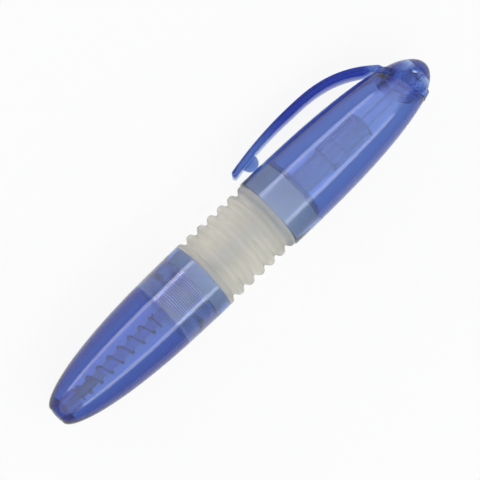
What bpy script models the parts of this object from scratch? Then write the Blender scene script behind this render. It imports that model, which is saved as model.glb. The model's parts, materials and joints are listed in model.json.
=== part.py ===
"""Lanyard pen: a see-through ballpoint whose two barrels are joined by a soft bellows.

Pressing the upper barrel towards the nose folds the bellows and pushes the refill out.
Stations are millimetres along the pen from the flat of its nose, radii and reaches are
millimetres from its axis. The pen lies on the plane z = 0 with its clip against that plane.
"""

import math

import bmesh
import bpy
from mathutils import Matrix, Vector

MM = 0.001
SAME = 1e-3             # two sizes closer than this are the same
SOLVE_STEPS = 12

# Facets round the shells, round the small turned pieces and round the wire
SHELL_SIDES = 36
SMALL_SIDES = 24
CAM_SIDES = 32
EYE_SIDES = 12

# Fits
SEAT_GAP = 0.1          # between two pieces that seat on each other
SLIDE_GAP = 0.15        # round a piece that slides in another
BALL_GAP = 0.055        # round the writing ball

# Nose barrel
NOSE_LENGTH = 46.0
NOSE_RADIUS = 9.05      # at its rear edge
NOSE_FLAT_RADIUS = 2.2
NOSE_WALL = 1.7
NOSE_FULLNESS = 2.5     # how far the nose keeps its width
NOSE_SHARPNESS = 1.8    # how quickly it rounds off at the flat
NOSE_RIM_WALL = 0.8     # round the front cuff of the bellows
NOSE_FLOOR = 2.8        # station where its hollow ends, round the guide sleeve
MOUTH_LENGTH = 2.5      # narrow stretch of the bore that guides the point
SLEEVE_MARGIN = 0.25    # of the guide sleeve outside the spring that stands on it
SPRING_SEAT = 6.3       # station of the sleeve's end

# Refill
POINT_RETREAT = 2.2     # the ball sits this far behind the nose flat
BALL_RADIUS = 0.5
BALL_SHOWING = 0.22     # part of the ball in front of its rim
RIM_WALL = 0.08
INK_CHANNEL_RADIUS = 0.24
POINT_TAPER = 2.2
POINT_NECK_RADIUS = 0.8
POINT_NECK_LENGTH = 2.9
POINT_BODY_RADIUS = 1.2
POINT_BODY_LENGTH = 4.1
POINT_TAIL_LENGTH = 2.5
POINT_WALL = 0.4
TUBE_RADIUS = 1.5
TUBE_FRONT_RADIUS = 1.3
TUBE_BORE_RADIUS = 1.05
EAR_RADIUS = 2.1
EAR_THICKNESS = 1.1
EAR_HALF_ANGLE = 26.0   # degrees
INK_LENGTH = 48.0

# Return spring
SPRING_RADIUS = 1.8     # to the middle of the wire
WIRE_RADIUS = 0.24
SPRING_LENGTH = 25.5    # from its seat to the ears
SPRING_TURNS = 7        # open turns
END_PITCH = 1.0         # pitch of the one close turn at each end
POINTS_PER_TURN = 10

# Barrel connector and guide tube
CONNECTOR_FRONT = 33.3
CONNECTOR_FLANGE = 1.7
THREAD_WALL = 1.0       # nose wall left outside the thread
SPIGOT_REACH = 1.0      # how far the spigot stands out of the nose
SPIGOT_WALL = 1.0
SOCKET_WALL = 1.2       # wall round the guide tube
CORE_FLOOR = 1.5        # floor of the moulded recess between the two walls
GUIDE_RADIUS = 2.9
GUIDE_WALL = 0.7

# Bellows
BELLOWS_SPAN = 20.7     # between the two barrels
RIB_COUNT = 7
CREST_RADIUS = 9.02
TROUGH_RADIUS = 7.88
CREST_LAND = 1.0
TROUGH_LAND = 0.75
BELLOWS_WALL = 0.9
FRONT_CUFF = 3.7
REAR_CUFF = 7.5
CUFF_WALL = 1.1

# Upper barrel
UPPER_LENGTH = 42.7     # from its front edge to its slanted end, on the axis
UPPER_RADIUS = 9.35
UPPER_STRAIGHT = 5.3    # cylindrical stretch at its front
UPPER_RUNOUT = 10.7     # how far past its end the taper would come to a point
UPPER_FULLNESS = 2.5
UPPER_WALL = 1.33
UPPER_RIM_WALL = 0.7    # round the rear cuff of the bellows
SLANT = 0.33            # slope of the end, longer on the side away from the clip
LIP_LENGTH = 1.2        # lip at the end that grips the end plug
LIP_HEIGHT = 0.2        # where it is lowest, away from the clip
LEAN_MARGIN = 0.8       # below the lip, where the rings of the shell start to lean

# Bush that holds the rear cuff and runs on the guide tube
BUSH_WALL = 1.0
BUSH_WEB = 1.6
BUSH_FLANGE = 1.2

# Clip ring, end plug and push rod
RING_HEIGHT = 2.35      # along the pen
RING_PROUD = 0.15       # outside the barrel
RING_EDGE = 0.3
PLUG_WALL = 0.8         # of the plug's stem inside ring and lip
PLUG_REACH = 1.0        # below the lip
DOME_RADIUS = 6.2
DOME_HEIGHT = 8.7
DOME_SINK = 0.4         # its widest place lies this far below the middle of the slanted end
DOME_FULLNESS = 1.4
CROWN_WALL = 2.5        # solid top of the dome, over its hollow
EYE_WIDTH = 1.9         # lanyard eye across dome and boss
EYE_DROP = 0.2          # between the hollow's top and the eye
BOSS_WALL = 0.75        # boss under the crown that holds the push rod
BOSS_FLOOR = 0.3        # between the rod's end and the eye
ROD_RADIUS = 1.25
ROD_SEAT_DEPTH = 2.5    # rod end held in the boss

# Clip arm
CLIP_WIDTH = 5.0
CLIP_THICKNESS = 2.0    # from its crest to its root
CLIP_TIP_THICKNESS = 1.5
CLIP_CREST_REACH = 14.55
CLIP_TIP_REACH = 12.6
CLIP_CREST = 20.3       # behind the upper barrel's front edge
CLIP_TIP = 0.9
CLIP_ROOT = 0.9         # behind the middle of the slanted end
CLIP_ROOT_REACH = 6.2
CLIP_SWEEP = 2.75       # how late the arm turns down to the ring
LUG_LENGTH = 4.3        # stretch of the clip that belongs to the ring
FLEX_GAP = 0.3          # between the ring's lug and the arm
PAD_STATION = 5.4       # behind the upper barrel's front edge
PAD_RADIUS = 2.1        # round nub that presses on the barrel
PAD_ROOT = 0.4          # how far its root goes into the arm
CLIP_EDGE = 0.4
CLIP_EDGE_ANGLE = 60.0  # degrees; edges sharper than this are rounded

# Knock mechanism
HOUSING_FRONT = 18.2    # behind the upper barrel's front edge
HOUSING_LENGTH = 12.1
HOUSING_RADIUS = 3.5
HOUSING_WALL = 0.75
HOUSING_CAP = 1.2
HOUSING_SOCKET = 1.2    # length of guide tube held in the housing
CAM_RIB_FRONT = 3.9     # from the housing's front to the ribs
CAM_RIB_HEIGHT = 0.55
CAM_RIB_STEP = 0.5      # slope of each rib's front end
CAM_COUNT = 4
KEY_LENGTH = 1.5
KEY_SETBACK = 0.3
KEY_HALF_ANGLE = 14.0   # degrees
KEY_BAND = 0.06         # low band that joins keys, ribs or ears round their piece
ROTOR_RADIUS = 1.75
ROTOR_LENGTH = 4.5
TOOTH_COUNT = 8
TOOTH_HEIGHT = 0.6
PILOT_RADIUS = 0.75
PILOT_LENGTH = 0.9
CROWN_LENGTH = 1.0

# Stations that follow from these
NOSE_REAR = NOSE_LENGTH
UPPER_FRONT = NOSE_REAR + BELLOWS_SPAN
SLANT_STATION = UPPER_FRONT + UPPER_LENGTH
DOME_BASE = SLANT_STATION - DOME_SINK
PEN_LENGTH = DOME_BASE + DOME_HEIGHT
HOLLOW_TOP = PEN_LENGTH - CROWN_WALL
EYE_CENTRE = HOLLOW_TOP - EYE_DROP - EYE_WIDTH / 2
BOSS_END = EYE_CENTRE - EYE_WIDTH / 2 - BOSS_FLOOR
BOSS_FRONT = BOSS_END - ROD_SEAT_DEPTH
FRONT_CUFF_SEAT = NOSE_REAR - FRONT_CUFF
REAR_CUFF_SEAT = UPPER_FRONT + REAR_CUFF
EAR_FRONT = SPRING_SEAT + SPRING_LENGTH + SEAT_GAP
HOUSING_START = UPPER_FRONT + HOUSING_FRONT
HOUSING_END = HOUSING_START + HOUSING_LENGTH
CROWN_SHOULDER = HOUSING_END - HOUSING_CAP - SEAT_GAP
CROWN_FRONT = CROWN_SHOULDER - CROWN_LENGTH - TOOTH_HEIGHT
ROTOR_END = CROWN_FRONT - SLIDE_GAP
ROTOR_START = ROTOR_END - ROTOR_LENGTH
TUBE_REAR = ROTOR_START - SEAT_GAP
CLIP_ROOT_STATION = SLANT_STATION + CLIP_ROOT
CLIP_CREST_STATION = UPPER_FRONT + CLIP_CREST
CLIP_TIP_STATION = UPPER_FRONT + CLIP_TIP
ARM_ROOT_STATION = CLIP_ROOT_STATION - LUG_LENGTH
PAD_CENTRE = UPPER_FRONT + PAD_STATION

# Radii that follow from the fits
THREAD_RADIUS = NOSE_RADIUS - THREAD_WALL
FRONT_CUFF_RADIUS = NOSE_RADIUS - NOSE_RIM_WALL - SEAT_GAP
CUFF_BORE = FRONT_CUFF_RADIUS - CUFF_WALL
REAR_CUFF_RADIUS = UPPER_RADIUS - UPPER_RIM_WALL - SEAT_GAP
REAR_CUFF_BORE = REAR_CUFF_RADIUS - CUFF_WALL
UPPER_BORE = UPPER_RADIUS - UPPER_WALL
GUIDE_BORE = GUIDE_RADIUS - GUIDE_WALL
CHAMBER_RADIUS = HOUSING_RADIUS - HOUSING_WALL
RIB_RADIUS = CHAMBER_RADIUS - CAM_RIB_HEIGHT
BOSS_RADIUS = ROD_RADIUS + SEAT_GAP + BOSS_WALL
RING_LIFT = SEAT_GAP * math.sqrt(1.0 + SLANT ** 2)  # along the pen, for that gap across the slant

# Colours: base colour, roughness, metallic
BLUE_SHELL = ((0.10, 0.14, 0.52), 0.18, 0.0)
BLUE_CLIP = ((0.03, 0.04, 0.36), 0.2, 0.0)
MILKY_SILICONE = ((0.62, 0.62, 0.55), 0.55, 0.0)
CLEAR_RESIN = ((0.55, 0.62, 0.72), 0.25, 0.0)
WHITE_RESIN = ((0.72, 0.74, 0.76), 0.35, 0.0)
BLUE_INK = ((0.01, 0.03, 0.35), 0.3, 0.0)
NICKEL_SILVER = ((0.55, 0.50, 0.40), 0.3, 1.0)
CARBIDE = ((0.55, 0.56, 0.58), 0.15, 1.0)
SPRING_STEEL = ((0.45, 0.46, 0.48), 0.3, 1.0)


def clear_scene():
    """Remove whatever the scene holds."""
    for old in list(bpy.data.objects):
        bpy.data.objects.remove(old, do_unlink=True)


def finish(name, look):
    """Make the piece's own Principled material."""
    colour, roughness, metallic = look
    material = bpy.data.materials.new(name + "_finish")
    material.use_nodes = True
    shader = material.node_tree.nodes["Principled BSDF"]
    shader.inputs["Base Color"].default_value = (*colour, 1.0)
    shader.inputs["Roughness"].default_value = roughness
    shader.inputs["Metallic"].default_value = metallic
    return material


def empty(name, parent=None, station=None, reach=0.0):
    """Add an empty on the pen's axis, or at a reach from it towards the clip."""
    frame = bpy.data.objects.new(name, None)
    bpy.context.collection.objects.link(frame)
    frame.parent = parent
    if station is not None:
        frame.location = place(station, reach, 0.0) - origin_of(parent)
    return frame


def place(station, reach, side):
    """Point in the pen's own frame, in metres, with the pen's middle at zero."""
    return Vector(((station - PEN_LENGTH / 2) * MM, reach * MM, side * MM))


def origin_of(frame):
    """Where an empty of the pen sits in the pen's own frame."""
    total = Vector((0.0, 0.0, 0.0))
    while frame is not None and frame.parent is not None:
        total += frame.location
        frame = frame.parent
    return total


def add_piece(name, bm, look, parent, station=0.0, reach=0.0, smooth_angle=35.0):
    """Turn a bmesh in millimetres into a named piece whose origin is at the given place."""
    bmesh.ops.recalc_face_normals(bm, faces=bm.faces)
    bmesh.ops.translate(bm, verts=bm.verts, vec=(-station, -reach, 0.0))
    bmesh.ops.scale(bm, verts=bm.verts, vec=(MM, MM, MM))
    mesh = bpy.data.meshes.new(name)
    bm.to_mesh(mesh)
    bm.free()
    mesh.shade_smooth()
    mesh.set_sharp_from_angle(angle=math.radians(smooth_angle))
    mesh.materials.append(finish(name, look))
    piece = bpy.data.objects.new(name, mesh)
    bpy.context.collection.objects.link(piece)
    piece.parent = parent
    piece.location = place(station, reach, 0.0) - origin_of(parent)
    return piece


def spun(outline, sides, on_axis=False, carve=None):
    """Spin an outline of (station, radius) points about the pen's axis."""
    bm = bmesh.new()
    verts = [bm.verts.new((station, radius, 0.0)) for station, radius in outline]
    edges = [bm.edges.new(pair) for pair in zip(verts, verts[1:])]
    if not on_axis:
        edges.append(bm.edges.new((verts[-1], verts[0])))
    bmesh.ops.spin(bm, geom=verts + edges, cent=(0.0, 0.0, 0.0), axis=(1.0, 0.0, 0.0),
                   dvec=(0.0, 0.0, 0.0), angle=math.tau, steps=sides, use_merge=True)
    bmesh.ops.remove_doubles(bm, verts=bm.verts, dist=1e-4)
    if carve is not None:
        for vert in bm.verts:
            radius = math.hypot(vert.co.y, vert.co.z)
            angle = math.atan2(vert.co.z, vert.co.y)
            station, new_radius = carve(vert.co.x, radius, angle)
            vert.co = (station, new_radius * math.cos(angle), new_radius * math.sin(angle))
    return bm


def extruded(outline, width):
    """Extrude an outline of (station, reach) points to both sides of the clip's plane."""
    bm = bmesh.new()
    verts = [bm.verts.new((station, reach, -width / 2)) for station, reach in outline]
    face = bm.faces.new(verts)
    grown = bmesh.ops.extrude_face_region(bm, geom=[face])
    moved = [item for item in grown["geom"] if isinstance(item, bmesh.types.BMVert)]
    bmesh.ops.translate(bm, verts=moved, vec=(0.0, 0.0, width))
    return bm


def hide_helper(helper):
    """Mark a cutter or a lug as a helper of another piece."""
    helper.hide_render = True
    helper.display_type = "WIRE"


def spread(start, end, count):
    """Evenly spaced values from start to end."""
    return [start + (end - start) * step / (count - 1) for step in range(count)]


def nose_radius(station):
    """Outer radius of the nose barrel, a blunt ogive."""
    behind = max(0.0, (NOSE_LENGTH - station) / NOSE_LENGTH)
    swell = max(0.0, 1.0 - behind ** NOSE_FULLNESS) ** (1.0 / NOSE_SHARPNESS)
    return NOSE_FLAT_RADIUS + (NOSE_RADIUS - NOSE_FLAT_RADIUS) * swell


def upper_radius(station):
    """Outer radius of the upper barrel, straight at first and then drawn in."""
    past = max(0.0, station - UPPER_FRONT - UPPER_STRAIGHT)
    taper = UPPER_LENGTH - UPPER_STRAIGHT + UPPER_RUNOUT
    return UPPER_RADIUS * math.sqrt(max(0.0, 1.0 - (past / taper) ** UPPER_FULLNESS))


def upper_bore(station):
    """Bore of the upper barrel behind the cuff of the bellows."""
    return min(UPPER_BORE, upper_radius(station) - UPPER_WALL)


def slanted(reach):
    """Station of the upper barrel's slanted end at a reach towards the clip."""
    return SLANT_STATION - SLANT * reach


def make_nose_barrel(body):
    """Front shell: a hollow ogive with a guide sleeve that carries the spring and a threaded rear."""
    mouth = POINT_BODY_RADIUS + SLIDE_GAP
    throat = TUBE_FRONT_RADIUS + 2 * SLIDE_GAP
    sleeve = SPRING_RADIUS + WIRE_RADIUS + SLEEVE_MARGIN
    thread_front = CONNECTOR_FRONT - SEAT_GAP
    outline = [(0.0, mouth), (0.0, NOSE_FLAT_RADIUS)]
    for step in spread(0.1, 1.0, 13):
        station = NOSE_LENGTH * (1.0 - math.cos(step * math.pi / 2))
        outline.append((station, nose_radius(station)))
    outline += [(NOSE_REAR, NOSE_RADIUS - NOSE_RIM_WALL), (FRONT_CUFF_SEAT, NOSE_RADIUS - NOSE_RIM_WALL),
                (FRONT_CUFF_SEAT, THREAD_RADIUS), (thread_front, THREAD_RADIUS)]
    for step in spread(0.0, 1.0, 11):
        station = NOSE_FLOOR + (thread_front - NOSE_FLOOR) * (1.0 - step) ** 2
        outline.append((station, nose_radius(station) - NOSE_WALL))
    outline += [(NOSE_FLOOR, sleeve), (SPRING_SEAT, sleeve), (SPRING_SEAT, throat), (MOUTH_LENGTH, throat),
                (MOUTH_LENGTH, mouth)]
    add_piece("nose_barrel", spun(outline, SHELL_SIDES), BLUE_SHELL, body)


def make_connector(body):
    """Threaded plug in the nose: it stops the refill's ears and holds cuff and guide tube."""
    outer = THREAD_RADIUS - SEAT_GAP
    spigot = CUFF_BORE - SEAT_GAP
    socket = GUIDE_RADIUS + SEAT_GAP
    rear = NOSE_REAR + SPIGOT_REACH
    shoulder = FRONT_CUFF_SEAT - SEAT_GAP
    floor = CONNECTOR_FRONT + CONNECTOR_FLANGE
    outline = [(CONNECTOR_FRONT, TUBE_RADIUS + 2 * SLIDE_GAP), (CONNECTOR_FRONT, outer), (shoulder, outer),
               (shoulder, spigot), (rear, spigot), (rear, spigot - SPIGOT_WALL),
               (floor + CORE_FLOOR, spigot - SPIGOT_WALL), (floor + CORE_FLOOR, socket + SOCKET_WALL),
               (rear, socket + SOCKET_WALL), (rear, socket), (floor, socket),
               (floor, TUBE_RADIUS + 2 * SLIDE_GAP)]
    add_piece("barrel_connector", spun(outline, SHELL_SIDES), CLEAR_RESIN, body, CONNECTOR_FRONT)


def make_guide_tube(body):
    """Tube from the connector through the bellows to the cam housing."""
    front = CONNECTOR_FRONT + CONNECTOR_FLANGE + SEAT_GAP
    rear = HOUSING_START + HOUSING_SOCKET - SEAT_GAP
    outline = [(front, GUIDE_BORE), (front, GUIDE_RADIUS), (rear, GUIDE_RADIUS), (rear, GUIDE_BORE)]
    add_piece("guide_tube", spun(outline, SMALL_SIDES), CLEAR_RESIN, body, front)


def make_bellows(body):
    """Soft sleeve with trapezoid ribs, a folded bore and a cuff in each barrel."""
    front = NOSE_REAR + SEAT_GAP
    rear = UPPER_FRONT - SEAT_GAP
    pitch = (rear - front - CREST_LAND) / (RIB_COUNT - 1)
    crests = [front + CREST_LAND / 2 + pitch * rib for rib in range(RIB_COUNT)]
    outline = [(FRONT_CUFF_SEAT + SEAT_GAP, CUFF_BORE), (FRONT_CUFF_SEAT + SEAT_GAP, FRONT_CUFF_RADIUS),
               (front, FRONT_CUFF_RADIUS)]
    for rib, crest in enumerate(crests):
        outline += [(crest - CREST_LAND / 2, CREST_RADIUS), (crest + CREST_LAND / 2, CREST_RADIUS)]
        if rib < RIB_COUNT - 1:
            trough = crest + pitch / 2
            outline += [(trough - TROUGH_LAND / 2, TROUGH_RADIUS), (trough + TROUGH_LAND / 2, TROUGH_RADIUS)]
    outline += [(rear, REAR_CUFF_RADIUS), (REAR_CUFF_SEAT - SEAT_GAP, REAR_CUFF_RADIUS),
                (REAR_CUFF_SEAT - SEAT_GAP, REAR_CUFF_BORE), (rear, REAR_CUFF_BORE)]
    for rib in reversed(range(1, RIB_COUNT - 1)):
        outline += [(crests[rib] + pitch / 2, TROUGH_RADIUS - BELLOWS_WALL),
                    (crests[rib], CREST_RADIUS - BELLOWS_WALL)]
    outline += [(crests[0] + pitch / 2, TROUGH_RADIUS - BELLOWS_WALL),
                (NOSE_REAR + SPIGOT_REACH + SEAT_GAP, CUFF_BORE)]
    add_piece("bellows", spun(outline, SHELL_SIDES), MILKY_SILICONE, body, front, smooth_angle=20.0)


def slant_end(side, proud=0.0, lift=0.0):
    """Where the slanted end meets the shell on the clip's side (1) or away from it (-1).

    The place can lie proud of the shell, and be lifted off the end.
    """
    station = SLANT_STATION
    for _ in range(SOLVE_STEPS):
        station = slanted(side * (upper_radius(station) + proud)) + lift
    return Vector((station, upper_radius(station) + proud))


def neck_bore():
    """Bore of the lip at the slanted end and of the ring on it."""
    return slant_end(-1).y - UPPER_WALL - LIP_HEIGHT


def make_upper_barrel(body):
    """Rear shell: straight round the bellows cuff, then drawn in to a slanted end with a lip."""
    lean_start = slant_end(1).x - LIP_LENGTH - LEAN_MARGIN
    lip = SLANT_STATION - LIP_LENGTH
    bore = neck_bore()
    bend = UPPER_FRONT + UPPER_STRAIGHT
    outline = [(UPPER_FRONT, UPPER_RADIUS - UPPER_RIM_WALL), (UPPER_FRONT, UPPER_RADIUS)]
    outer = spread(bend, lean_start, 9) + spread(lean_start, SLANT_STATION, 4)[1:]
    outline += [(station, upper_radius(station)) for station in outer]
    outline += [(SLANT_STATION, bore), (lip, bore), (lip, upper_bore(lip))]
    outline += [(station, upper_bore(station)) for station in spread(lean_start, REAR_CUFF_SEAT, 8)]
    outline.append((REAR_CUFF_SEAT, UPPER_RADIUS - UPPER_RIM_WALL))

    def lean(station, radius, angle):
        if station <= lean_start + SAME:
            return station, radius
        if radius < bore + SAME:
            return station - SLANT * radius * math.cos(angle), radius
        profile = upper_radius if radius > upper_bore(station) + SAME else upper_bore
        end = lip if profile is upper_bore else SLANT_STATION
        share = (station - lean_start) / (end - lean_start)
        moved = station
        for _ in range(SOLVE_STEPS):
            foot = end - SLANT * profile(moved) * math.cos(angle)
            moved = lean_start + share * (foot - lean_start)
        return moved, profile(moved)

    add_piece("upper_barrel", spun(outline, SHELL_SIDES, carve=lean), BLUE_SHELL, body, UPPER_FRONT)


def make_bush(body):
    """Ring inside the rear cuff, with a web that runs on the guide tube."""
    sleeve = REAR_CUFF_BORE - SEAT_GAP
    bore = GUIDE_RADIUS + SLIDE_GAP
    front = UPPER_FRONT + SEAT_GAP
    flange = REAR_CUFF_SEAT + SEAT_GAP
    rear = flange + BUSH_FLANGE
    rim = UPPER_BORE - SEAT_GAP
    outline = [(front, sleeve - BUSH_WALL), (front, sleeve), (flange, sleeve), (flange, rim), (rear, rim),
               (rear, bore), (rear - BUSH_WEB, bore), (rear - BUSH_WEB, sleeve - BUSH_WALL)]
    add_piece("bellows_bush", spun(outline, SHELL_SIDES), CLEAR_RESIN, body, front)


def clip_reach(station):
    """Reach of the clip's outer edge: a shallow bow in front of its crest, a late sweep behind it."""
    if station < CLIP_CREST_STATION:
        ahead = (CLIP_CREST_STATION - station) / (CLIP_CREST_STATION - CLIP_TIP_STATION)
        return CLIP_CREST_REACH - (CLIP_CREST_REACH - CLIP_TIP_REACH) * ahead ** 2
    behind = (station - CLIP_CREST_STATION) / (CLIP_ROOT_STATION - CLIP_CREST_STATION)
    return CLIP_CREST_REACH - (CLIP_CREST_REACH - CLIP_ROOT_REACH) * behind ** CLIP_SWEEP


def clip_direction(station):
    """Direction of the clip's outer edge towards its root."""
    rise = clip_reach(station + SAME) - clip_reach(station - SAME)
    return Vector((2 * SAME, rise)).normalized()


def clip_point(station, depth=0.0):
    """Point on the clip's outer edge, or that far below it."""
    along = clip_direction(station)
    return Vector((station, clip_reach(station))) + depth * Vector((along.y, -along.x))


def arm_thickness(station):
    """Thickness of the arm, thinner towards its tip."""
    ahead = max(0.0, (CLIP_CREST_STATION - station) / (CLIP_CREST_STATION - CLIP_TIP_STATION))
    return CLIP_THICKNESS + (CLIP_TIP_THICKNESS - CLIP_THICKNESS) * ahead


def clip_arm_outline():
    """Side outline of the arm, with a round tip."""
    stations = spread(ARM_ROOT_STATION, CLIP_CREST_STATION, 7)
    stations += spread(CLIP_CREST_STATION, CLIP_TIP_STATION, 6)[1:]
    outer = [clip_point(station) for station in stations]
    tip_radius = CLIP_TIP_THICKNESS / 2
    middle = clip_point(CLIP_TIP_STATION, tip_radius)
    along = clip_direction(CLIP_TIP_STATION)
    across = Vector((-along.y, along.x))
    tip = []
    for turn in (0.25, 0.5, 0.75):
        angle = turn * math.pi
        tip.append(middle + tip_radius * (math.cos(angle) * across - math.sin(angle) * along))
    inner = [clip_point(station, arm_thickness(station)) for station in reversed(stations)]
    return outer + tip + inner


def lug_outline():
    """Side outline of the stretch of clip that is moulded on the ring."""
    along = clip_direction(ARM_ROOT_STATION)
    heart = (neck_bore() + upper_radius(SLANT_STATION)) / 2
    end = CLIP_ROOT_STATION
    for _ in range(SOLVE_STEPS):
        end = slanted(clip_reach(end)) + RING_HEIGHT
    outline = [clip_point(ARM_ROOT_STATION) + FLEX_GAP * along]
    outline += [clip_point(station) for station in spread(ARM_ROOT_STATION, end, 4)[1:]]
    outline += [Vector((slanted(heart) + RING_HEIGHT, heart)),
                Vector((slanted(heart) + 2 * RING_LIFT, heart)), slant_end(1, RING_PROUD, 2 * RING_LIFT),
                clip_point(ARM_ROOT_STATION, CLIP_THICKNESS) + FLEX_GAP * along]
    return outline


def clip_hinge():
    """Where the arm flexes: the middle of the gap between arm and lug."""
    return clip_point(ARM_ROOT_STATION, CLIP_THICKNESS / 2) + FLEX_GAP / 2 * clip_direction(ARM_ROOT_STATION)


def make_clip_ring(body):
    """Slanted collar on the end of the barrel, with the lug of the clip moulded on it."""
    low = SLANT_STATION + RING_LIFT
    top = low + RING_HEIGHT
    bore = neck_bore()
    outline = [(low, bore), (low, upper_radius(low) + RING_PROUD),
               (top - RING_EDGE, upper_radius(top) + RING_PROUD),
               (top, upper_radius(top) + RING_PROUD - RING_EDGE), (top, bore)]

    def lean(station, radius, angle):
        if radius < bore + SAME:
            return station - SLANT * radius * math.cos(angle), radius
        inset = RING_EDGE if station > top - SAME else 0.0
        moved = station
        for _ in range(SOLVE_STEPS):
            radius = upper_radius(moved) + RING_PROUD - inset
            moved = station - SLANT * radius * math.cos(angle)
        return moved, radius

    ring = add_piece("clip_ring", spun(outline, SHELL_SIDES, carve=lean), BLUE_CLIP, body, SLANT_STATION)
    lug = add_piece("clip_lug_shape", extruded(lug_outline(), CLIP_WIDTH), BLUE_CLIP, body, SLANT_STATION)
    hide_helper(lug)
    join = ring.modifiers.new("lug", "BOOLEAN")
    join.operation = "UNION"
    join.object = lug


def pad_shape():
    """Round nub under the arm, as a ball cut off inside the arm."""
    reach = UPPER_RADIUS + SEAT_GAP + PAD_RADIUS
    root = clip_point(PAD_CENTRE, arm_thickness(PAD_CENTRE)).y + PAD_ROOT
    bm = bmesh.new()
    bmesh.ops.create_uvsphere(bm, u_segments=16, v_segments=12, radius=PAD_RADIUS,
                              matrix=Matrix.Translation((PAD_CENTRE, reach, 0.0)))
    whole = bm.verts[:] + bm.edges[:] + bm.faces[:]
    cut = bmesh.ops.bisect_plane(bm, geom=whole, dist=SAME, plane_co=(PAD_CENTRE, root, 0.0),
                                 plane_no=(0.0, 1.0, 0.0), clear_outer=True)
    rim = [item for item in cut["geom_cut"] if isinstance(item, bmesh.types.BMEdge)]
    bmesh.ops.contextual_create(bm, geom=rim)
    return bm


def make_clip_arm(hinge):
    """Curved arm with rounded long edges and a nub that presses on the barrel."""
    pivot = clip_hinge()
    outline = [tuple(point) for point in clip_arm_outline()]
    arm = add_piece("clip_arm", extruded(outline, CLIP_WIDTH), BLUE_CLIP, hinge, pivot.x, pivot.y)
    edge = arm.modifiers.new("edges", "BEVEL")
    edge.width = CLIP_EDGE * MM
    edge.segments = 2
    edge.limit_method = "ANGLE"
    edge.angle_limit = math.radians(CLIP_EDGE_ANGLE)
    pad = add_piece("clip_pad_shape", pad_shape(), BLUE_CLIP, hinge, pivot.x, pivot.y)
    hide_helper(pad)
    join = arm.modifiers.new("pad", "BOOLEAN")
    join.operation = "UNION"
    join.object = pad


def dome_radius(station):
    """Outer radius of the dome over the ring."""
    rise = min(1.0, max(0.0, (station - DOME_BASE) / DOME_HEIGHT))
    return DOME_RADIUS * math.sqrt(1.0 - rise ** DOME_FULLNESS)


def make_end_plug(body):
    """Hollow dome on the ring: it clamps the ring, holds the push rod and has the lanyard eye."""
    front = SLANT_STATION - LIP_LENGTH - PLUG_REACH
    foot = SLANT_STATION + 2 * RING_LIFT + RING_HEIGHT
    stem = neck_bore() - SEAT_GAP
    hollow = stem - PLUG_WALL
    bore = ROD_RADIUS + SEAT_GAP
    outline = [(BOSS_END, 0.0), (BOSS_END, bore), (BOSS_FRONT, bore), (BOSS_FRONT, BOSS_RADIUS),
               (HOLLOW_TOP, BOSS_RADIUS), (HOLLOW_TOP, hollow - PLUG_WALL / 2),
               (HOLLOW_TOP - PLUG_WALL, hollow), (front, hollow), (front, stem), (foot, stem)]
    for step in spread(0.0, 1.0, 9):
        station = foot + (PEN_LENGTH - foot) * math.sin(step * math.pi / 2)
        outline.append((station, dome_radius(station)))

    def lean(station, radius, angle):
        if abs(station - front) < SAME or abs(radius - stem) < SAME:
            return station - SLANT * radius * math.cos(angle), radius
        if abs(radius - dome_radius(station)) > SAME:
            return station, radius
        share = (PEN_LENGTH - station) / (PEN_LENGTH - foot)
        moved = station
        for _ in range(SOLVE_STEPS):
            moved = station - share * SLANT * dome_radius(moved) * math.cos(angle)
        return moved, dome_radius(moved)

    bm = spun(outline, SMALL_SIDES, on_axis=True, carve=lean)
    plug = add_piece("end_plug", bm, BLUE_SHELL, body, DOME_BASE)
    eye = []
    for turn in range(EYE_SIDES):
        angle = math.tau * turn / EYE_SIDES
        eye.append((EYE_CENTRE + EYE_WIDTH / 2 * math.cos(angle), EYE_WIDTH / 2 * math.sin(angle)))
    cutter = add_piece("lanyard_eye_shape", extruded(eye, 3 * DOME_RADIUS), BLUE_SHELL, body, DOME_BASE)
    hide_helper(cutter)
    hole = plug.modifiers.new("lanyard eye", "BOOLEAN")
    hole.operation = "DIFFERENCE"
    hole.object = cutter


def tooth_wave(angle):
    """Zigzag of the knock teeth, from 0 to 1 and back once a tooth."""
    share = (angle * TOOTH_COUNT / math.tau) % 1.0
    return abs(share - 0.5) * 2.0


def make_push_rod(body):
    """Rod from the end plug into the housing, with a toothed crown that drives the rotor."""
    hole = PILOT_RADIUS + SLIDE_GAP
    hole_end = ROTOR_END + TOOTH_HEIGHT + PILOT_LENGTH + 2 * SLIDE_GAP
    rear = BOSS_END - SEAT_GAP
    outline = [(hole_end, 0.0), (hole_end, hole), (CROWN_FRONT, hole), (CROWN_FRONT, ROTOR_RADIUS),
               (CROWN_SHOULDER, ROTOR_RADIUS), (CROWN_SHOULDER, ROD_RADIUS), (rear, ROD_RADIUS), (rear, 0.0)]

    def bite(station, radius, angle):
        if abs(station - CROWN_FRONT) < SAME:
            station += TOOTH_HEIGHT * tooth_wave(angle)
        return station, radius

    add_piece("push_rod", spun(outline, CAM_SIDES, on_axis=True, carve=bite), WHITE_RESIN, body, CROWN_FRONT)


def within(angle, count, middle, half):
    """Whether an angle lies on one of count features set evenly round the axis."""
    pitch = math.tau / count
    offset = (angle - middle + pitch / 2) % pitch - pitch / 2
    return abs(offset) < half


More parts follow.
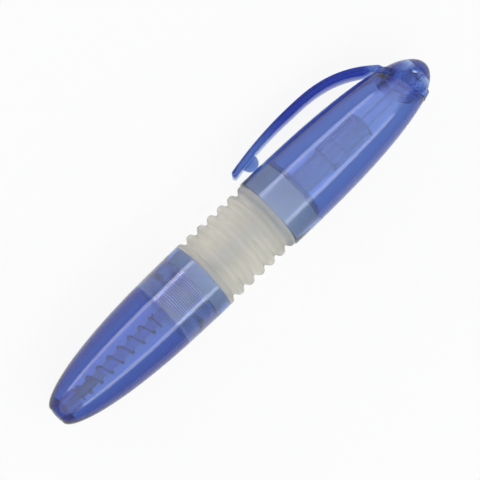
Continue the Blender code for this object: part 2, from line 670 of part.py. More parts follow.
def make_rotor(refill):
    """Rotor with keys that run between the housing's ribs and teeth for the push rod."""
    key_rear = ROTOR_END - KEY_SETBACK
    key_front = key_rear - KEY_LENGTH
    key_radius = CHAMBER_RADIUS - SLIDE_GAP
    pilot_end = ROTOR_END + TOOTH_HEIGHT + PILOT_LENGTH
    outline = [(ROTOR_START, 0.0), (ROTOR_START, ROTOR_RADIUS), (key_front, ROTOR_RADIUS),
               (key_front, key_radius), (key_rear, key_radius), (key_rear, ROTOR_RADIUS),
               (ROTOR_END, ROTOR_RADIUS), (ROTOR_END, PILOT_RADIUS), (pilot_end, PILOT_RADIUS),
               (pilot_end, 0.0)]
    key_half = math.radians(KEY_HALF_ANGLE)

    def shape(station, radius, angle):
        if radius > ROTOR_RADIUS + SAME and not within(angle, CAM_COUNT, 0.0, key_half):
            radius = ROTOR_RADIUS + KEY_BAND
        if abs(station - ROTOR_END) < SAME:
            station += TOOTH_HEIGHT * tooth_wave(angle)
        return station, radius

    bm = spun(outline, CAM_SIDES, on_axis=True, carve=shape)
    add_piece("cam_rotor", bm, WHITE_RESIN, refill, ROTOR_START)


def make_cam_housing(body):
    """Clear housing on the guide tube, with ribs whose sloped ends latch the rotor."""
    socket = GUIDE_RADIUS + SEAT_GAP
    chamber = HOUSING_START + HOUSING_SOCKET
    rib_front = HOUSING_START + CAM_RIB_FRONT
    cap = HOUSING_END - HOUSING_CAP
    hole = ROD_RADIUS + SLIDE_GAP
    outline = [(HOUSING_START, socket), (HOUSING_START, HOUSING_RADIUS), (HOUSING_END, HOUSING_RADIUS),
               (HOUSING_END, hole), (cap, hole), (cap, RIB_RADIUS), (rib_front, RIB_RADIUS),
               (rib_front, CHAMBER_RADIUS), (chamber, CHAMBER_RADIUS), (chamber, socket)]
    pitch = math.tau / CAM_COUNT
    rib_half = math.radians(KEY_HALF_ANGLE)

    def ribs(station, radius, angle):
        share = (angle % pitch) / pitch
        if abs(radius - RIB_RADIUS) < SAME and not within(angle, CAM_COUNT, pitch / 2, rib_half):
            radius = CHAMBER_RADIUS - KEY_BAND
        if abs(station - rib_front) < SAME:
            station += CAM_RIB_STEP * share
        return station, radius

    add_piece("cam_housing", spun(outline, CAM_SIDES, carve=ribs), CLEAR_RESIN, body, HOUSING_START)


def point_stations():
    """Stations of the metal point from its rim to the end of its tail."""
    rim = POINT_RETREAT + BALL_SHOWING
    neck = rim + POINT_TAPER
    body = neck + POINT_NECK_LENGTH
    tail = body + POINT_BODY_LENGTH
    return rim, neck, body, tail, tail + POINT_TAIL_LENGTH


def make_point(refill):
    """Metal point with a socket crimped round the ball and an ink channel behind it."""
    rim, neck, body, tail, end = point_stations()
    centre = POINT_RETREAT + BALL_RADIUS
    socket = BALL_RADIUS + BALL_GAP
    tail_radius = TUBE_BORE_RADIUS - SEAT_GAP
    floor = centre + math.sqrt(socket ** 2 - INK_CHANNEL_RADIUS ** 2)
    rim_radius = math.sqrt(socket ** 2 - (centre - rim) ** 2)
    channel = INK_CHANNEL_RADIUS
    outline = [(rim, rim_radius), (rim, rim_radius + RIM_WALL), (neck, POINT_NECK_RADIUS),
               (body, POINT_NECK_RADIUS), (body, POINT_BODY_RADIUS), (tail, POINT_BODY_RADIUS),
               (tail, tail_radius), (end, tail_radius), (end, tail_radius - POINT_WALL),
               (body, POINT_NECK_RADIUS - POINT_WALL), (neck, channel), (floor, channel)]
    for station in spread(floor, centre, 4)[1:]:
        outline.append((station, math.sqrt(socket ** 2 - (station - centre) ** 2)))
    add_piece("refill_point", spun(outline, SMALL_SIDES), NICKEL_SILVER, refill, rim)


def make_ball(pivot):
    """Writing ball, with its poles on the axis that it rolls about."""
    bm = bmesh.new()
    centre = POINT_RETREAT + BALL_RADIUS
    bmesh.ops.create_uvsphere(bm, u_segments=16, v_segments=10, radius=BALL_RADIUS,
                              matrix=Matrix.Translation((centre, 0.0, 0.0)))
    add_piece("point_ball", bm, CARBIDE, pivot, centre)


def make_refill_tube(refill):
    """Ink tube, thinner inside the spring, with two ears that the spring pushes on."""
    front = point_stations()[3] + SEAT_GAP
    ear_rear = EAR_FRONT + EAR_THICKNESS
    outline = [(front, TUBE_BORE_RADIUS), (front, TUBE_FRONT_RADIUS), (EAR_FRONT, TUBE_FRONT_RADIUS),
               (EAR_FRONT, EAR_RADIUS), (ear_rear, EAR_RADIUS), (ear_rear, TUBE_RADIUS),
               (TUBE_REAR, TUBE_RADIUS), (TUBE_REAR, TUBE_BORE_RADIUS)]

    def ears(station, radius, angle):
        if radius > TUBE_RADIUS + SAME and not within(angle, 2, math.pi / 2, math.radians(EAR_HALF_ANGLE)):
            radius = TUBE_RADIUS + KEY_BAND
        return station, radius

    add_piece("refill_tube", spun(outline, SMALL_SIDES, carve=ears), CLEAR_RESIN, refill, front)


def make_ink(refill):
    """Column of ink in the tube."""
    front = point_stations()[4] + SEAT_GAP
    radius = TUBE_BORE_RADIUS - SEAT_GAP
    outline = [(front, 0.0), (front, radius), (front + INK_LENGTH, radius), (front + INK_LENGTH, 0.0)]
    add_piece("ink_column", spun(outline, SMALL_SIDES, on_axis=True), BLUE_INK, refill, front)


def spring_points():
    """Middle of the spring's wire: one close turn at each end and open turns between."""
    start = SPRING_SEAT + SEAT_GAP + WIRE_RADIUS
    length = SPRING_LENGTH - SEAT_GAP - 2 * WIRE_RADIUS
    open_pitch = (length - 2 * END_PITCH) / SPRING_TURNS
    turns = SPRING_TURNS + 2
    points = []
    for step in range(turns * POINTS_PER_TURN + 1):
        turn = step / POINTS_PER_TURN
        opened = min(max(turn - 1.0, 0.0), SPRING_TURNS)
        station = start + END_PITCH * (turn - opened) + open_pitch * opened
        angle = turn * math.tau
        points.append(Vector((station, SPRING_RADIUS * math.cos(angle), SPRING_RADIUS * math.sin(angle))))
    tail = Vector((0.0, 0.0, 2 * WIRE_RADIUS))
    return [points[0] - tail] + points + [points[-1] + tail]


def least_gap(points):
    """Least clear distance between stretches of the wire half a turn or more apart."""
    least = math.inf
    for first, here in enumerate(points):
        for there in points[first + POINTS_PER_TURN // 2:]:
            least = min(least, (here - there).length)
    return least - 2 * WIRE_RADIUS


def make_spring(body):
    """Return spring between the nose's guide sleeve and the refill's ears."""
    points = spring_points()
    print("return spring: least gap between its turns is %.2f mm" % least_gap(points))
    curve = bpy.data.curves.new("return_spring", "CURVE")
    curve.dimensions = "3D"
    curve.bevel_depth = WIRE_RADIUS * MM
    curve.bevel_resolution = 1
    curve.use_fill_caps = True
    spline = curve.splines.new("POLY")
    spline.points.add(len(points) - 1)
    for knot, point in zip(spline.points, points):
        knot.co = ((point.x - SPRING_SEAT) * MM, point.y * MM, point.z * MM, 1.0)
    curve.materials.append(finish("return_spring", SPRING_STEEL))
    spring = bpy.data.objects.new("return_spring", curve)
    bpy.context.collection.objects.link(spring)
    spring.parent = body
    spring.location = place(SPRING_SEAT, 0.0, 0.0) - origin_of(body)


def resting_roll():
    """How far the pen rolls, from the clip level with its axis, until the clip meets the plane."""
    low, high = 0.0, math.pi / 2
    for _ in range(40):
        roll = (low + high) / 2
        depth = max(point.y * math.sin(roll) for point in clip_arm_outline())
        if depth + CLIP_WIDTH / 2 * math.cos(roll) < UPPER_RADIUS:
            low = roll
        else:
            high = roll
    return low


def settle(pen):
    """Set the pen on the plane z = 0, with the middle of its footprint at the origin."""
    bpy.context.view_layer.update()
    graph = bpy.context.evaluated_depsgraph_get()
    corners = []
    for piece in bpy.data.objects:
        if piece.type != "EMPTY" and not piece.hide_render:
            mesh = piece.evaluated_get(graph).to_mesh()
            corners += [piece.matrix_world @ vert.co for vert in mesh.vertices]
    lows = [min(corner[axis] for corner in corners) for axis in range(3)]
    highs = [max(corner[axis] for corner in corners) for axis in range(3)]
    pen.location = (-(lows[0] + highs[0]) / 2, -(lows[1] + highs[1]) / 2, -lows[2])


def build():
    """Build the pen."""
    clear_scene()
    pen = empty("pen")
    pen.rotation_euler = (-resting_roll(), 0.0, 0.0)
    body = empty("lower_body", pen)
    upper = empty("upper_slide", pen, UPPER_FRONT)
    refill = empty("refill_slide", pen, EAR_FRONT)
    ball = empty("ball_pivot", refill, POINT_RETREAT + BALL_RADIUS)
    pivot = clip_hinge()
    clip = empty("clip_hinge", upper, pivot.x, pivot.y)

    make_nose_barrel(body)
    make_connector(body)
    make_guide_tube(body)
    make_cam_housing(body)
    make_bellows(body)
    make_spring(body)
    make_upper_barrel(upper)
    make_bush(upper)
    make_clip_ring(upper)
    make_end_plug(upper)
    make_push_rod(upper)
    make_clip_arm(clip)
    make_refill_tube(refill)
    make_ink(refill)
    make_point(refill)
    make_rotor(refill)
    make_ball(ball)
    settle(pen)


build()
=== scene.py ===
"""Lanyard pen: a see-through ballpoint with a soft bellows between its two barrels.

The packed solids are the frame. Every piece here is a smooth moulding over the solid that it stands for,
in the pen's own frame: stations run along the axis from the nose flat, reach runs towards the clip.
"""

import json
import math

import bmesh
import bpy
from bpy.props import FloatProperty, FloatVectorProperty, IntProperty, PointerProperty
from mathutils import Matrix, Vector


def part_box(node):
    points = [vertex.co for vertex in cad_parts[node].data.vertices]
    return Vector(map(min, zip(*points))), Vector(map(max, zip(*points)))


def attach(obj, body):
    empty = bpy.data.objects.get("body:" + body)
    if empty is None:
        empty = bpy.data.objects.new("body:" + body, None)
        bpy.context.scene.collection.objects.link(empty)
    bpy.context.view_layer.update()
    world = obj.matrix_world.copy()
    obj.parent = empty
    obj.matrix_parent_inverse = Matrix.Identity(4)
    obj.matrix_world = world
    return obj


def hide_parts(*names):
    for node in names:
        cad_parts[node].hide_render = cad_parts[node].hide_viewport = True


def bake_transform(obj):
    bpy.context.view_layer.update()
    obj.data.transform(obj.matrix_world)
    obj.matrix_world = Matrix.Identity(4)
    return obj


bl_info = {
    "name": "Lanyard pen",
    "version": (1, 0, 0),
    "blender": (4, 5, 0),
    "location": "3D View > Sidebar > Lanyard pen",
    "description": "Models and finishes a see-through bellows ballpoint over its packed solids",
    "category": "Object",
}

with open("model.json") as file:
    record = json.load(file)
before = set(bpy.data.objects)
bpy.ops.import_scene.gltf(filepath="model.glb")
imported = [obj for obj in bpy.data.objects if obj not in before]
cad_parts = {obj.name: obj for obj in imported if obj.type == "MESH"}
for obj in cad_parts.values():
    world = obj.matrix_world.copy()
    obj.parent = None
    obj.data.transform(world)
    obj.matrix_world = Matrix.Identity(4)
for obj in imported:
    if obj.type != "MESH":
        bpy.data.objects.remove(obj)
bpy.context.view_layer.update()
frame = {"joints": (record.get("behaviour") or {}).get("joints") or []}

MM = 0.001
MERGE = 1e-7            # points closer than this are one point
SAME = 1e-6             # two sizes closer than this are the same
SOLVE_STEPS = 12        # rounds that settle where a slanted edge meets a shell
FINISH_PREFIX = "pen_"  # keeps the finishes apart from the solids' own plain materials

# Facets round the shells, the small turned pieces and the toothed ones
SHELL_SIDES = 144
SMALL_SIDES = 72
CAM_SIDES = 96
PAD_FACETS = {"u_segments": 64, "v_segments": 40}
BALL_FACETS = {"u_segments": 48, "v_segments": 32}
ROUND_STEPS = 4         # facets of a rounded corner
ARM_ROUND_STEPS = 3     # facets of a rounded edge of the arm
WIRE_STEPS = 4          # how finely the spring's wire is rounded
SHARP_ANGLE = 35.0      # degrees from which an edge of a moulding stays sharp
SOFT_ANGLE = 60.0       # the same for soft folds, balls and wire
SIDEWAYS = 0.9          # share of its normal that makes a face one of the arm's two sides

# Points along the curved outlines
NOSE_STEPS = 64
NOSE_HOLLOW_STEPS = 48
UPPER_STEPS = 48
UPPER_BORE_STEPS = 40
LEAN_STEPS = 12
RING_STEPS = 7
ARM_ROOT_STEPS = 8
ARM_SWEEP_STEPS = 28
ARM_BOW_STEPS = 24
ARM_TIP_STEPS = 10
DOME_STEPS = 36
EYE_STEPS = 41
BALL_SEAT_STEPS = 8
COIL_STEPS = 36         # in one turn of the spring

RIM_SHARE = 0.03        # of the nose's sweep, left to the rounding of its flat
EARS = 2                # on the ink tube

# One turn of the thread, as (share of the pitch, share of the depth)
THREAD_TURN = ((0.1, 0.0), (0.4, 1.0), (0.6, 1.0), (0.9, 0.0))

# Surfaces: the ranges of noise in which clouds and patches change, and how the painted shade in the grip's
# rings is drawn
COLOUR = "NodeSocketColor"
VALUE = "NodeSocketFloat"
NOISE_MIDDLE = 0.5
CLOUD_RANGE = (0.35, 0.65)
PATCH_RANGE = (0.3, 0.6)
PATCH_FLOOR = 0.35      # strength of the weakest ring
PATCH_SCALE = 260.0
# A ring's shade is painted shade: a darker colour that stands in for the shade in its groove.
LINE_RANGE = (1.2, 0.6)  # half widths of a ring between which its shade sets in
MOUTH_REACH = 2.0       # radii of the flat round the axis that can be mouth
RELIEF = 0.02 * MM      # height of the finest marks

# Fits
SEAT_GAP = 0.1 * MM     # between two pieces that seat on each other
SLIDE_GAP = 0.15 * MM   # round a piece that slides in another

# The pen's own frame, read from the solids
JOINTS = {joint["name"]: joint for joint in frame["joints"]}
NOSE_LOW, NOSE_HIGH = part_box("nose_barrel")
ALONG = Vector((1.0, 0.0, 0.0))
SIDE = Vector(JOINTS["ball_roll"]["axis"]).normalized()
REACH = SIDE.cross(ALONG)
PEN_MIDDLE = (NOSE_LOW + NOSE_HIGH) / 2
PEN_ORIGIN = Vector((NOSE_LOW.x, PEN_MIDDLE.y, PEN_MIDDLE.z))
PEN_FRAME = Matrix.Translation(PEN_ORIGIN) @ Matrix((ALONG, REACH, SIDE)).transposed().to_4x4()


def span(solid):
    """Front and rear station of a packed solid."""
    low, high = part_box(solid)
    return low.x - PEN_ORIGIN.x, high.x - PEN_ORIGIN.x


NOSE_REAR = span("nose_barrel")[1]
CONNECTOR_FRONT, CONNECTOR_REAR = span("barrel_connector")
GUIDE_FRONT, GUIDE_REAR = span("guide_tube")
CUFF_FRONT, CUFF_REAR = span("bellows")
UPPER_FRONT = span("upper_barrel")[0]
BUSH_FRONT, BUSH_REAR = span("bellows_bush")
HOUSING_FRONT, HOUSING_REAR = span("cam_housing")
ROTOR_FRONT = span("cam_rotor")[0]
ROD_FRONT, ROD_REAR = span("push_rod")
PLUG_REAR = span("end_plug")[1]
TUBE_FRONT, TUBE_REAR = span("refill_tube")
INK_FRONT, INK_REAR = span("ink_column")
POINT_FRONT, POINT_REAR = span("refill_point")
BALL_FRONT, BALL_REAR = span("point_ball")
SPRING_FRONT, SPRING_REAR = span("return_spring")


def length(name, millimetres, description):
    """Property for a length, given in millimetres."""
    return FloatProperty(name=name, description=description, default=millimetres * MM, min=0.0,
                         precision=5, unit="LENGTH")


def number(name, default, description):
    """Property for a plain number."""
    return FloatProperty(name=name, description=description, default=default, min=0.0, precision=3)


def turn(name, degrees, description):
    """Property for an angle."""
    return FloatProperty(name=name, description=description, default=math.radians(degrees), subtype="ANGLE")


def tint(name, colour, description):
    """Property for a colour."""
    return FloatVectorProperty(name=name, description=description, default=colour, min=0.0, max=1.0,
                               size=3, subtype="COLOR")


class PenNose(bpy.types.PropertyGroup):
    """Sizes of the nose barrel and of the threaded plug in its rear."""

    radius: length("Rear radius", 9.05, "Outer radius at the rear edge")
    flat_radius: length("Flat radius", 2.2, "Radius of the flat at the tip")
    wall: length("Wall", 1.7, "Wall of the ogive")
    fullness: number("Fullness", 2.5, "How far the nose keeps its width")
    sharpness: number("Sharpness", 1.8, "How quickly it rounds off at the flat")
    rim_wall: length("Rim wall", 0.8, "Wall round the front cuff of the bellows")
    mouth_radius: length("Mouth radius", 1.35, "Bore that guides the point")
    mouth_length: length("Mouth length", 2.5, "Length of that bore")
    throat_radius: length("Throat radius", 1.6, "Bore between mouth and spring seat")
    floor: length("Floor", 2.8, "Station where its hollow ends, round the guide sleeve")
    sleeve_radius: length("Sleeve radius", 2.29, "Radius of the guide sleeve")
    spring_seat: length("Spring seat", 6.3, "Station of the sleeve's end, which the spring stands on")
    thread_radius: length("Thread radius", 8.05, "Bore that takes the threaded plug")
    thread_pitch: length("Thread pitch", 0.53, "Distance between two turns of the thread")
    thread_depth: length("Thread depth", 0.16, "Depth of the thread")
    ring_pitch: length("Ring pitch", 0.58, "Distance between two fine rings round the grip")
    ring_depth: length("Ring depth", 0.05, "Depth of the fine rings")
    ring_half: length("Ring half width", 0.12, "Half of a fine ring's width")
    flange: length("Flange", 1.7, "Thickness of the plug's front wall")
    flange_bore: length("Flange bore", 1.8, "Hole for the ink tube")
    spigot_wall: length("Spigot wall", 1.0, "Wall inside the front cuff")
    socket_radius: length("Socket radius", 3.0, "Bore that holds the guide tube")
    socket_wall: length("Socket wall", 1.2, "Wall round the guide tube")
    core_floor: length("Core floor", 1.5, "Floor of the moulded recess")
    guide_radius: length("Guide radius", 2.9, "Outer radius of the guide tube")
    guide_wall: length("Guide wall", 0.7, "Wall of the guide tube")
    edge: length("Edge", 0.2, "Rounding of the rims")
    flat_edge: length("Flat edge", 0.4, "Rounding round the flat at the tip")
    floor_edge: length("Floor edge", 0.6, "Rounding where the hollow ends")


class PenBellows(bpy.types.PropertyGroup):
    """Sizes of the soft sleeve."""

    ribs: IntProperty(name="Ribs", description="Crests of the sleeve", default=7, min=2)
    crest_radius: length("Crest radius", 9.02, "Outer radius of a rib")
    trough_radius: length("Trough radius", 7.88, "Outer radius between two ribs")
    crest_land: length("Crest land", 1.0, "Width of a rib's crest")
    trough_land: length("Trough land", 0.75, "Width of the ground between two ribs")
    wall: length("Wall", 0.9, "Wall of the folds")
    cuff_wall: length("Cuff wall", 1.1, "Wall of the two cuffs")
    rounding: length("Rounding", 0.32, "Rounding of the folds")


class PenUpper(bpy.types.PropertyGroup):
    """Sizes of the upper barrel and of the bush in its front."""

    radius: length("Radius", 9.35, "Outer radius of the straight stretch")
    straight: length("Straight stretch", 5.3, "Length of the straight stretch")
    taper: length("Taper", 48.1, "Length in which the taper would come to a point")
    fullness: number("Fullness", 2.5, "How far the barrel keeps its width")
    wall: length("Wall", 1.33, "Wall behind the cuff")
    rim_wall: length("Rim wall", 0.7, "Wall round the rear cuff of the bellows")
    cuff: length("Cuff", 7.5, "Depth of the seat for that cuff")
    slant_station: length("Slanted end", 109.4, "Station of the slanted end on the axis")
    slant: number("Slant", 0.33, "Slope of that end, lower on the side of the clip")
    lip_length: length("Lip", 1.2, "Length of the lip that grips the end plug")
    lip_height: length("Lip height", 0.2, "Height of that lip away from the clip")
    lean_margin: length("Lean margin", 0.8, "Below the lip, where the shell starts to lean")
    bush_wall: length("Bush wall", 1.0, "Wall of the bush in the cuff")
    bush_web: length("Bush web", 1.6, "Thickness of the web on the guide tube")
    bush_flange: length("Bush flange", 1.2, "Thickness of the flange behind the cuff")
    edge: length("Edge", 0.2, "Rounding of the rims")


class PenClip(bpy.types.PropertyGroup):
    """Sizes of the clip with its ring, and of the end plug."""

    width: length("Width", 5.0, "Width of the arm")
    thickness: length("Thickness", 2.0, "Thickness of the arm from its crest to its root")
    tip_thickness: length("Tip thickness", 1.5, "Thickness of the arm at its tip")
    arm_root: length("Arm root", 106.0, "Station where the arm bends off its ring")
    crest_station: length("Crest station", 87.0, "Station where the arm stands off most")
    crest_reach: length("Crest reach", 14.55, "Reach of its outer edge there")
    tip_station: length("Tip station", 67.6, "Station of the tip")
    tip_reach: length("Tip reach", 12.6, "Reach of the outer edge at the tip")
    root_station: length("Root station", 110.3, "Station where the arm runs into the ring")
    root_reach: length("Root reach", 6.2, "Reach of the outer edge there")
    sweep: number("Sweep", 2.75, "How late the arm turns down to the ring")
    pad_station: length("Pad station", 72.1, "Middle of the round nub that presses on the barrel")
    pad_radius: length("Pad radius", 2.1, "Radius of the nub")
    pad_root: length("Pad root", 0.4, "How far its root goes into the arm")
    edge: length("Edge", 0.45, "Rounding of the arm's long edges")
    ring_height: length("Ring height", 2.35, "Height of the ring along the pen")
    ring_proud: length("Ring step", 0.15, "How far the ring stands out of the barrel")
    ring_edge: length("Ring edge", 0.35, "Rounding of the ring's top")
    plug_wall: length("Plug wall", 0.8, "Wall of the plug's stem")
    plug_reach: length("Plug reach", 1.0, "How far the stem goes past the lip")
    dome_radius: length("Dome radius", 6.2, "Widest radius of the dome")
    dome_height: length("Dome height", 8.7, "Height of the dome over its widest place")
    dome_fullness: number("Dome fullness", 1.4, "How far the dome keeps its width")
    crown_wall: length("Crown wall", 2.5, "Solid top of the dome, over its hollow")
    eye_width: length("Eye width", 1.9, "Width of the lanyard eye")
    eye_drop: length("Eye drop", 0.2, "Distance of the eye from the hollow's top")
    boss_wall: length("Boss wall", 0.75, "Wall of the boss that holds the push rod")
    boss_floor: length("Boss floor", 0.3, "Floor between the rod's end and the eye")
    rod_seat: length("Rod seat", 2.5, "Depth of the hole for the push rod")


class PenRefill(bpy.types.PropertyGroup):
    """Sizes of the refill and of the return spring."""

    neck_radius: length("Neck radius", 0.8, "Radius of the point's neck")
    body_radius: length("Body radius", 1.2, "Radius of the point's body")
    taper: length("Taper", 2.2, "Length of the cone in front of the neck")
    neck_length: length("Neck length", 2.9, "Length of the neck")
    tail_length: length("Tail", 2.5, "Stretch of the point that is held in the tube")
    channel_radius: length("Channel", 0.24, "Radius of the ink channel")
    rim_wall: length("Rim wall", 0.08, "Wall of the crimped rim round the ball")
    point_wall: length("Point wall", 0.4, "Wall of the neck and of the tail")
    neck_edge: length("Neck edge", 0.3, "Rounding where the cone runs into the neck")
    body_edge: length("Body edge", 0.15, "Rounding of the point's shoulder")
    tail_edge: length("Tail edge", 0.1, "Rounding of the body's rear and of the tail")
    ball_gap: length("Ball gap", 0.055, "Ink gap round the ball")
    tube_radius: length("Tube radius", 1.5, "Outer radius of the ink tube")
    tube_front_radius: length("Front radius", 1.3, "Radius of its stretch inside the spring")
    tube_bore: length("Tube bore", 1.05, "Bore of the ink tube")
    ink_edge: length("Ink edge", 0.2, "Rounding of the ink's front")
    meniscus: length("Meniscus", 0.6, "Rounding of the ink's rear")
    ear_station: length("Ear station", 31.9, "Front of the ears that the spring pushes on")
    ear_thickness: length("Ear thickness", 1.1, "Length of the ears along the tube")
    ear_radius: length("Ear radius", 2.1, "How far the ears reach")
    ear_half: turn("Ear half angle", 26.0, "Half of the angle that one ear takes")
    spring_radius: length("Spring radius", 1.8, "Radius to the middle of the wire")
    wire_radius: length("Wire radius", 0.24, "Radius of the wire")
    open_turns: IntProperty(name="Open turns", description="Turns between the end turns", default=7, min=1)
    end_pitch: length("End pitch", 1.0, "Pitch of the one close turn at each end")


class PenKnock(bpy.types.PropertyGroup):
    """Sizes of the knock mechanism."""

    housing_radius: length("Housing radius", 3.5, "Outer radius of the cam housing")
    housing_wall: length("Housing wall", 0.75, "Wall of the housing")
    housing_cap: length("Housing cap", 1.2, "Thickness of its rear wall")
    housing_socket: length("Housing socket", 1.2, "Stretch that takes the guide tube")
    front_edge: length("Front edge", 0.25, "Rounding of the housing's front")
    rear_edge: length("Rear edge", 0.35, "Rounding of its rear")
    rib_front: length("Rib front", 3.9, "Distance from the housing's front to its ribs")
    rib_height: length("Rib height", 0.55, "Height of the ribs")
    rib_step: length("Rib step", 0.5, "Slope of each rib's front end")
    cams: IntProperty(name="Cams", description="Ribs of the housing and keys of the rotor", default=4, min=2)
    key_half: turn("Key half angle", 14.0, "Half of the angle that a key or a rib takes")
    key_length: length("Key length", 1.5, "Length of the rotor's keys")
    key_setback: length("Key setback", 0.3, "Distance of the keys from the rotor's teeth")
    key_band: length("Key band", 0.06, "Low band that joins keys, ribs or ears")
    rotor_radius: length("Rotor radius", 1.75, "Radius of the rotor and of the rod's crown")
    rotor_length: length("Rotor length", 4.5, "Length of the rotor without its pilot")
    teeth: IntProperty(name="Teeth", description="Teeth of crown and rotor", default=8, min=2)
    tooth_height: length("Tooth height", 0.6, "Height of the teeth")
    pilot_radius: length("Pilot radius", 0.75, "Radius of the rotor's pilot")
    pilot_length: length("Pilot length", 0.9, "Length of the pilot past the teeth")
    crown_length: length("Crown", 1.0, "Length of the crown behind its teeth")
    rod_radius: length("Rod radius", 1.25, "Radius of the push rod")


class PenFinish(bpy.types.PropertyGroup):
    """Colours and gloss of the pen's plastics and metals."""

    shell: tint("Shell", (0.98, 0.985, 1.0), "Surface tint of the see-through blue plastic")
    shell_shade: tint("Shell flow", (0.95, 0.96, 1.0), "Tint of its flow marks")
    shell_depth: tint("Shell depth", (0.068, 0.322, 0.747), "Colour that the plastic lets through")
    shell_clear: number("Shell clearness", 0.98, "Share of light that the blue plastic lets through")
    shell_density: number("Shell density", 900.0, "How strongly the shells colour light, per metre")
    shell_index: number("Shell index", 1.3, "How strongly the shells bend light")
    shell_roughness: number("Shell roughness", 0.012, "Roughness of the shells")
    shell_coat: number("Shell coat", 0.24, "Gloss on top of the shells")
    ring_coat: number("Ring coat", 0.6, "Gloss on top of the grip's fine rings")
    coat_index: number("Coat index", 2.0, "How strongly that gloss mirrors light")
    arm: tint("Arm", (0.16, 0.21, 0.62), "Surface tint of the clip's arm")
    arm_front: tint("Arm front", (0.75, 0.79, 0.88), "Surface tint of the arm near its tip")
    clip_index: number("Clip index", 1.2, "How strongly the clip bends and mirrors light")
    clip_density: number("Clip density", 500.0, "How strongly the clip colours light, per metre")
    clip_roughness: number("Clip roughness", 0.03, "Roughness of the clip")
    plug_density: number("Plug density", 700.0, "How strongly the end plug colours light, per metre")
    # Painted shade: a darker colour painted in the grip's fine rings, standing in for the shade in their
    # grooves.
    ring_line: tint("Ring line", (0.42, 0.47, 0.76), "Shade in the fine rings of the grip")
    mouth_matte: number("Mouth matte", 0.2, "Roughness that the nose gains at its mouth")
    resin: tint("Resin", (0.985, 0.99, 0.99), "Surface tint of the clear inner mouldings")
    resin_shade: tint("Resin flow", (0.95, 0.96, 0.97), "Tint of their flow marks")
    resin_clear: number("Resin clearness", 0.85, "Share of light that the clear plastic lets through")
    resin_depth: tint("Resin depth", (0.70, 0.76, 0.82), "Colour that the clear plastic lets through")
    resin_density: number("Resin density", 90.0, "How strongly the clear plastic colours light, per metre")
    resin_index: number("Resin index", 1.5, "How strongly the clear plastic bends light")
    resin_roughness: number("Resin roughness", 0.08, "Roughness of the clear inner mouldings")
    silicone: tint("Silicone", (0.83, 0.815, 0.765), "Milky soft sleeve")
    silicone_shade: tint("Silicone shade", (0.80, 0.79, 0.74), "Mottling of the sleeve")
    silicone_index: number("Silicone index", 1.2, "How strongly the sleeve bends light")
    silicone_clear: number("Silicone clearness", 0.85, "Share of light that the sleeve lets through")
    # Painted light: the cuffs get a lighter colour that stands in for the light shining through them from
    # behind.
    silicone_clean: tint("Silicone cuff light", (0.90, 0.90, 0.87), "Sleeve in its cuffs, which no hand reaches")
    silicone_roughness: number("Silicone roughness", 0.6, "Roughness of the sleeve")
    white: tint("White resin", (0.72, 0.74, 0.76), "Rod and rotor")
    white_shade: tint("White shade", (0.62, 0.65, 0.69), "Mottling of rod and rotor")
    white_roughness: number("White roughness", 0.35, "Roughness of rod and rotor")
    white_sink: number("White sink", 0.2, "Share of light that sinks into rod and rotor")
    white_sink_depth: length("White sink depth", 0.5, "How deep that light sinks")
    ink: tint("Ink", (0.78, 0.90, 1.0), "Surface tint of the ink in the tube")
    ink_shade: tint("Ink shade", (0.60, 0.78, 1.0), "Thicker ink")
    ink_depth: tint("Ink depth", (0.25, 0.60, 1.0), "Colour that the ink lets through")
    ink_density: number("Ink density", 500.0, "How strongly the ink colours light, per metre")
    ink_clear: number("Ink clearness", 0.98, "Share of light that the ink lets through")
    ink_index: number("Ink index", 1.5, "How strongly the ink bends light")
    ink_roughness: number("Ink roughness", 0.1, "Roughness of the ink's surface")
    nickel: tint("Nickel silver", (0.32, 0.30, 0.27), "Writing point")
    nickel_shade: tint("Nickel shade", (0.20, 0.19, 0.17), "Turning marks of the point")
    nickel_roughness: number("Nickel roughness", 0.06, "Roughness of the point")
    steel: tint("Spring steel", (0.30, 0.31, 0.33), "Spring and ball")
    steel_shade: tint("Steel shade", (0.20, 0.21, 0.23), "Drawing marks of the wire")
    steel_roughness: number("Steel roughness", 0.12, "Roughness of spring and ball")


